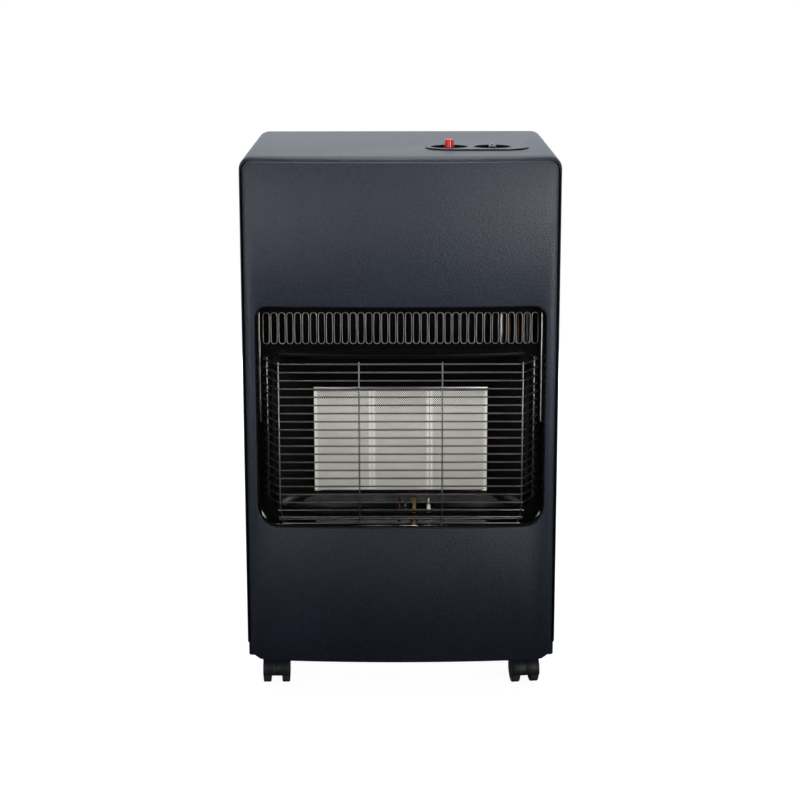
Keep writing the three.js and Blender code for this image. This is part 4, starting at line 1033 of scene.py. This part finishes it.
def caster_wheel():
    """A wheel about the X axis, with its hub towards +X."""
    bpy.ops.mesh.primitive_cylinder_add(vertices=48, radius=WHEEL_RADIUS, depth=WHEEL_WIDTH,
                                        rotation=ALONG_AXLE)
    wheel = placed(bpy.context.object)
    select(wheel, "faces", lambda p: p.x > 0.49 * WHEEL_WIDTH)
    for inwards, outwards in WHEEL_STEPS:
        bpy.ops.mesh.inset(thickness=inwards * MM)
        bpy.ops.transform.translate(value=(outwards * MM, 0, 0))
    bpy.ops.mesh.delete(type="ONLY_FACE")
    object_mode()
    select(wheel, "faces", lambda p: p.x < -0.49 * WHEEL_WIDTH)
    bpy.ops.mesh.inset(thickness=WHEEL_RADIUS - BORE_RADIUS)
    bpy.ops.mesh.delete(type="ONLY_FACE")
    object_mode()
    select(wheel, "edges", lambda p: math.hypot(p.y, p.z) < BORE_RADIUS + 0.05 * MM)
    bpy.ops.mesh.bridge_edge_loops()
    bpy.ops.mesh.select_all(action="SELECT")
    bpy.ops.mesh.normals_make_consistent(inside=False)
    object_mode()
    return rounded_edges(wheel, 0.7 * MM, 40)


wheel_model = caster_wheel()
print("wheel faces", len(wheel_model.data.polygons))

# %% [markdown]
# ## Caster hood
#
# The hood is a curved band over both wheels, with a web between them and a boss for the stem. A block
# could be carved into it, but moulded plastic is a thin wall. So a tube is cut open below, loses a
# narrow slit where its two moulded halves meet, and Solidify gives it its wall inwards.


# %% Mould a hood
TRAIL = 14 * MM
AXLE_HEIGHT = 20 * MM
AXLE = Vector((0, TRAIL, AXLE_HEIGHT))
BAND_REAR, BAND_FRONT = math.radians(25), math.radians(190)
SLIT = 0.35 * MM
HOOD_RADIUS, HOOD_WIDTH, HOOD_WALL = 23.4 * MM, 36 * MM, 2.2 * MM
WEB_RADIUS, WEB_WIDTH, WEB_DROP = 22.4 * MM, 15 * MM, 3.9 * MM
BOSS_RADIUS, BOSS_HEIGHT, BOSS_MIDDLE = 9 * MM, 13 * MM, 44.9 * MM


def tube_about_axle(radius, width, cap):
    bpy.ops.mesh.primitive_cylinder_add(vertices=48, radius=radius, depth=width, end_fill_type=cap,
                                        location=AXLE, rotation=ALONG_AXLE)
    return placed(bpy.context.object)


def cut_at(piece, middle, normal, fill=False, away=True):
    """Cuts along a plane, and takes away what lies behind it or only leaves the cut."""
    select_all(piece)
    bpy.ops.mesh.bisect(plane_co=middle, plane_no=normal, use_fill=fill, clear_inner=away)
    object_mode()


def caster_hood():
    """A hood with its stem on the Z axis: a band over the wheels, a web and a boss."""
    band = tube_about_axle(HOOD_RADIUS, HOOD_WIDTH, "NOTHING")
    cut_at(band, AXLE, (0, -math.sin(BAND_REAR), math.cos(BAND_REAR)))
    cut_at(band, AXLE, (0, math.sin(BAND_FRONT), -math.cos(BAND_FRONT)))
    for side in (-1, 1):
        cut_at(band, (side * SLIT, 0, 0), (1, 0, 0), away=False)
    select(band, "faces", lambda p: abs(p.x) < 0.9 * SLIT)
    bpy.ops.mesh.delete(type="FACE")
    object_mode()
    rounded_edges(modified(band, "SOLIDIFY", thickness=HOOD_WALL), 0.5 * MM, 50)
    web = tube_about_axle(WEB_RADIUS, WEB_WIDTH, "NGON")
    cut_at(web, AXLE - Vector((0, 0, WEB_DROP)), (0, 0, 1), fill=True)
    rounded_edges(web, 0.4 * MM, 50)
    bpy.ops.mesh.primitive_cylinder_add(vertices=32, radius=BOSS_RADIUS, depth=BOSS_HEIGHT,
                                        location=(0, 0, BOSS_MIDDLE))
    boss = rounded_edges(placed(bpy.context.object), 0.8 * MM, 50)
    return joined([band, web, boss])


hood_model = caster_hood()
print("hood faces", len(hood_model.data.polygons))

# %% [markdown]
# ## Four casters
#
# All four casters are the same, so one wheel and one hood are copied to each stem. Casters seldom
# stand straight: the front right one is turned a little, as in the photograph. Each hood rides on its
# swivel and each wheel on its own body, so they turn as the real ones do.


# %% Fit the casters
WHEEL_MIDDLE = 13 * MM
TURNED = {"front_right": 8}


def stand(piece, stem, turn, place=Vector((0, 0, 0)), flip=0.0):
    """Puts a copy of a caster's piece on its stem, turned with the swivel."""
    twin = copies(piece, [(0, 0, 0)])[0]
    twin.rotation_euler = (0, 0, math.radians(turn) + flip)
    twin.location = stem + Matrix.Rotation(math.radians(turn), 3, "Z") @ place
    return twin


for corner in ("front_left", "front_right", "rear_left", "rear_right"):
    low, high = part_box(f"caster_plate_{corner}")
    stem = Vector(((low.x + high.x) / 2, (low.y + high.y) / 2, 0))
    turn = TURNED.get(corner, 0)
    hood = stand(hood_model, stem, turn)
    settled(hood, f"hood_{corner}", f"swivel_{corner}", "black_plastic", 40)
    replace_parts(hood, f"caster_hood_{corner}")
    for side, sign in (("left", -1), ("right", 1)):
        middle = Vector((sign * WHEEL_MIDDLE, TRAIL, AXLE_HEIGHT))
        wheel = stand(wheel_model, stem, turn, middle, 0.0 if sign > 0 else math.pi)
        settled(wheel, f"wheel_{side}_of_{corner}", f"wheel_{side}_{corner}", "wheel", 40)
        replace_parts(wheel, f"caster_wheel_{side}_{corner}")
    print("caster", corner, "turned", turn, "degrees")
for model in (wheel_model, hood_model):
    bpy.data.objects.remove(model)

# %% [markdown]
# ## Floor
#
# The heater stands on a plain pale floor. A floor bright enough to look white would throw its own
# light up at the heater. So the floor is a middle grey that takes the heater's shadow, and what the
# camera sees of it gets a glow that nothing else sees.


# %% Lay the floor
def floor():
    bpy.ops.mesh.primitive_plane_add(size=60, location=(0, 0, -0.2 * MM))
    plane = bpy.context.object
    plane.name = "floor"
    recipe = Recipe("pale_floor")
    path = recipe.node("ShaderNodeLightPath")
    pale = recipe.blend(recipe.noise(3), (0.46, 0.46, 0.46, 1), (0.5, 0.5, 0.5, 1))
    recipe.set(
        Base_Color=recipe.blend(path.outputs["Is Glossy Ray"], pale, (0.03, 0.03, 0.03, 1)),
        Emission_Color=recipe.blend(path.outputs["Is Camera Ray"], (0, 0, 0, 1), (1, 1, 1, 1)),
        Emission_Strength=0.93, Roughness=0.9, Specular_IOR_Level=0.0)
    plane.data.materials.append(recipe.material)
    return plane


print("floor", [round(side, 1) for side in floor().dimensions])

# %% [markdown]
# ## Backdrop
#
# A studio has a white wall behind the object and a dark room in front of it. Real walls would do, but
# the world can be all of them. The camera sees plain white, mirrors see a wall that brightens towards
# the back, and matt surfaces get a weak, even light.


# %% Hang the backdrop
def backdrop():
    world = bpy.data.worlds.new("studio")
    bpy.context.scene.world = world
    world.use_nodes = True
    tree = world.node_tree
    tree.nodes.clear()

    def light(colour, strength):
        return add_node(tree, "ShaderNodeBackground", {}, colour, strength).outputs[0]

    path = add_node(tree, "ShaderNodeLightPath").outputs
    ray = add_node(tree, "ShaderNodeTexCoord").outputs["Generated"]
    backwards = add_node(tree, "ShaderNodeSeparateXYZ", {}, ray).outputs["Y"]
    wall = add_node(tree, "ShaderNodeMapRange", {"interpolation_type": "SMOOTHSTEP"},
                    Value=backwards, From_Min=-0.1, From_Max=0.75, To_Min=0.03, To_Max=1.4)
    room = light((0.88, 0.93, 1.0, 1), wall.outputs[0])
    soft = light((0.9, 0.94, 1.0, 1), 0.16)
    white = light((1, 1, 1, 1), 1.0)
    mirrored = add_node(tree, "ShaderNodeMixShader", {}, path["Is Glossy Ray"], soft, room)
    straight = add_node(tree, "ShaderNodeMath", {"operation": "MAXIMUM"},
                        path["Is Camera Ray"], path["Is Transmission Ray"])
    seen = add_node(tree, "ShaderNodeMixShader", {}, straight.outputs[0], mirrored.outputs[0], white)
    add_node(tree, "ShaderNodeOutputWorld", {}, seen.outputs[0])
    return world


print("backdrop nodes", len(backdrop().node_tree.nodes))

# %% [markdown]
# ## Lamps
#
# Dark glossy paint shows its lamps more than its colour. A lamp straight in front would wash out the
# panel's top, so two tall boxes stand well to the sides, the right one brighter as in the photograph.
# A narrow key reaches the plaques through the guard, one box lights the top, and one the back. A grid
# on a box narrows its beam, and the camera doesn't see the boxes.


# %% Set up the lamps
# Where it stands, where it points, its width and height, all in metres, its watts, and its beam.
LAMPS = {
    "front_key": ((0, -1.0, 1.85), (0, -0.1, 0.46), (1.3, 0.16), 0.3, 14),
    "overhead": ((0, 0.15, 1.6), (0, 0.15, 0.7), (1.2, 0.5), 6, 180),
    "left_box": ((-1.05, -1.95, 0.75), (0, -0.15, 0.77), (0.35, 0.9), 1.3, 47),
    "right_box": ((1.05, -1.95, 0.75), (0, -0.15, 0.77), (0.35, 0.9), 2.35, 47),
    "rear_box": ((0, 2.2, 0.33), (0, 0.2, 0.33), (0.7, 0.42), 24, 180),
}
for name, (place, target, size, power, beam) in LAMPS.items():
    bpy.ops.object.light_add(type="AREA", location=place)
    lamp = bpy.context.object
    lamp.name = name
    lamp.rotation_euler = (Vector(target) - Vector(place)).to_track_quat("-Z", "Y").to_euler()
    lamp.data.shape = "RECTANGLE"
    lamp.data.size, lamp.data.size_y = size
    lamp.data.energy = power
    lamp.data.spread = math.radians(beam)
    lamp.visible_camera = False
bpy.context.scene.view_settings.view_transform = "Standard"
print("lamps", len(LAMPS))

# %% [markdown]
# ## The end
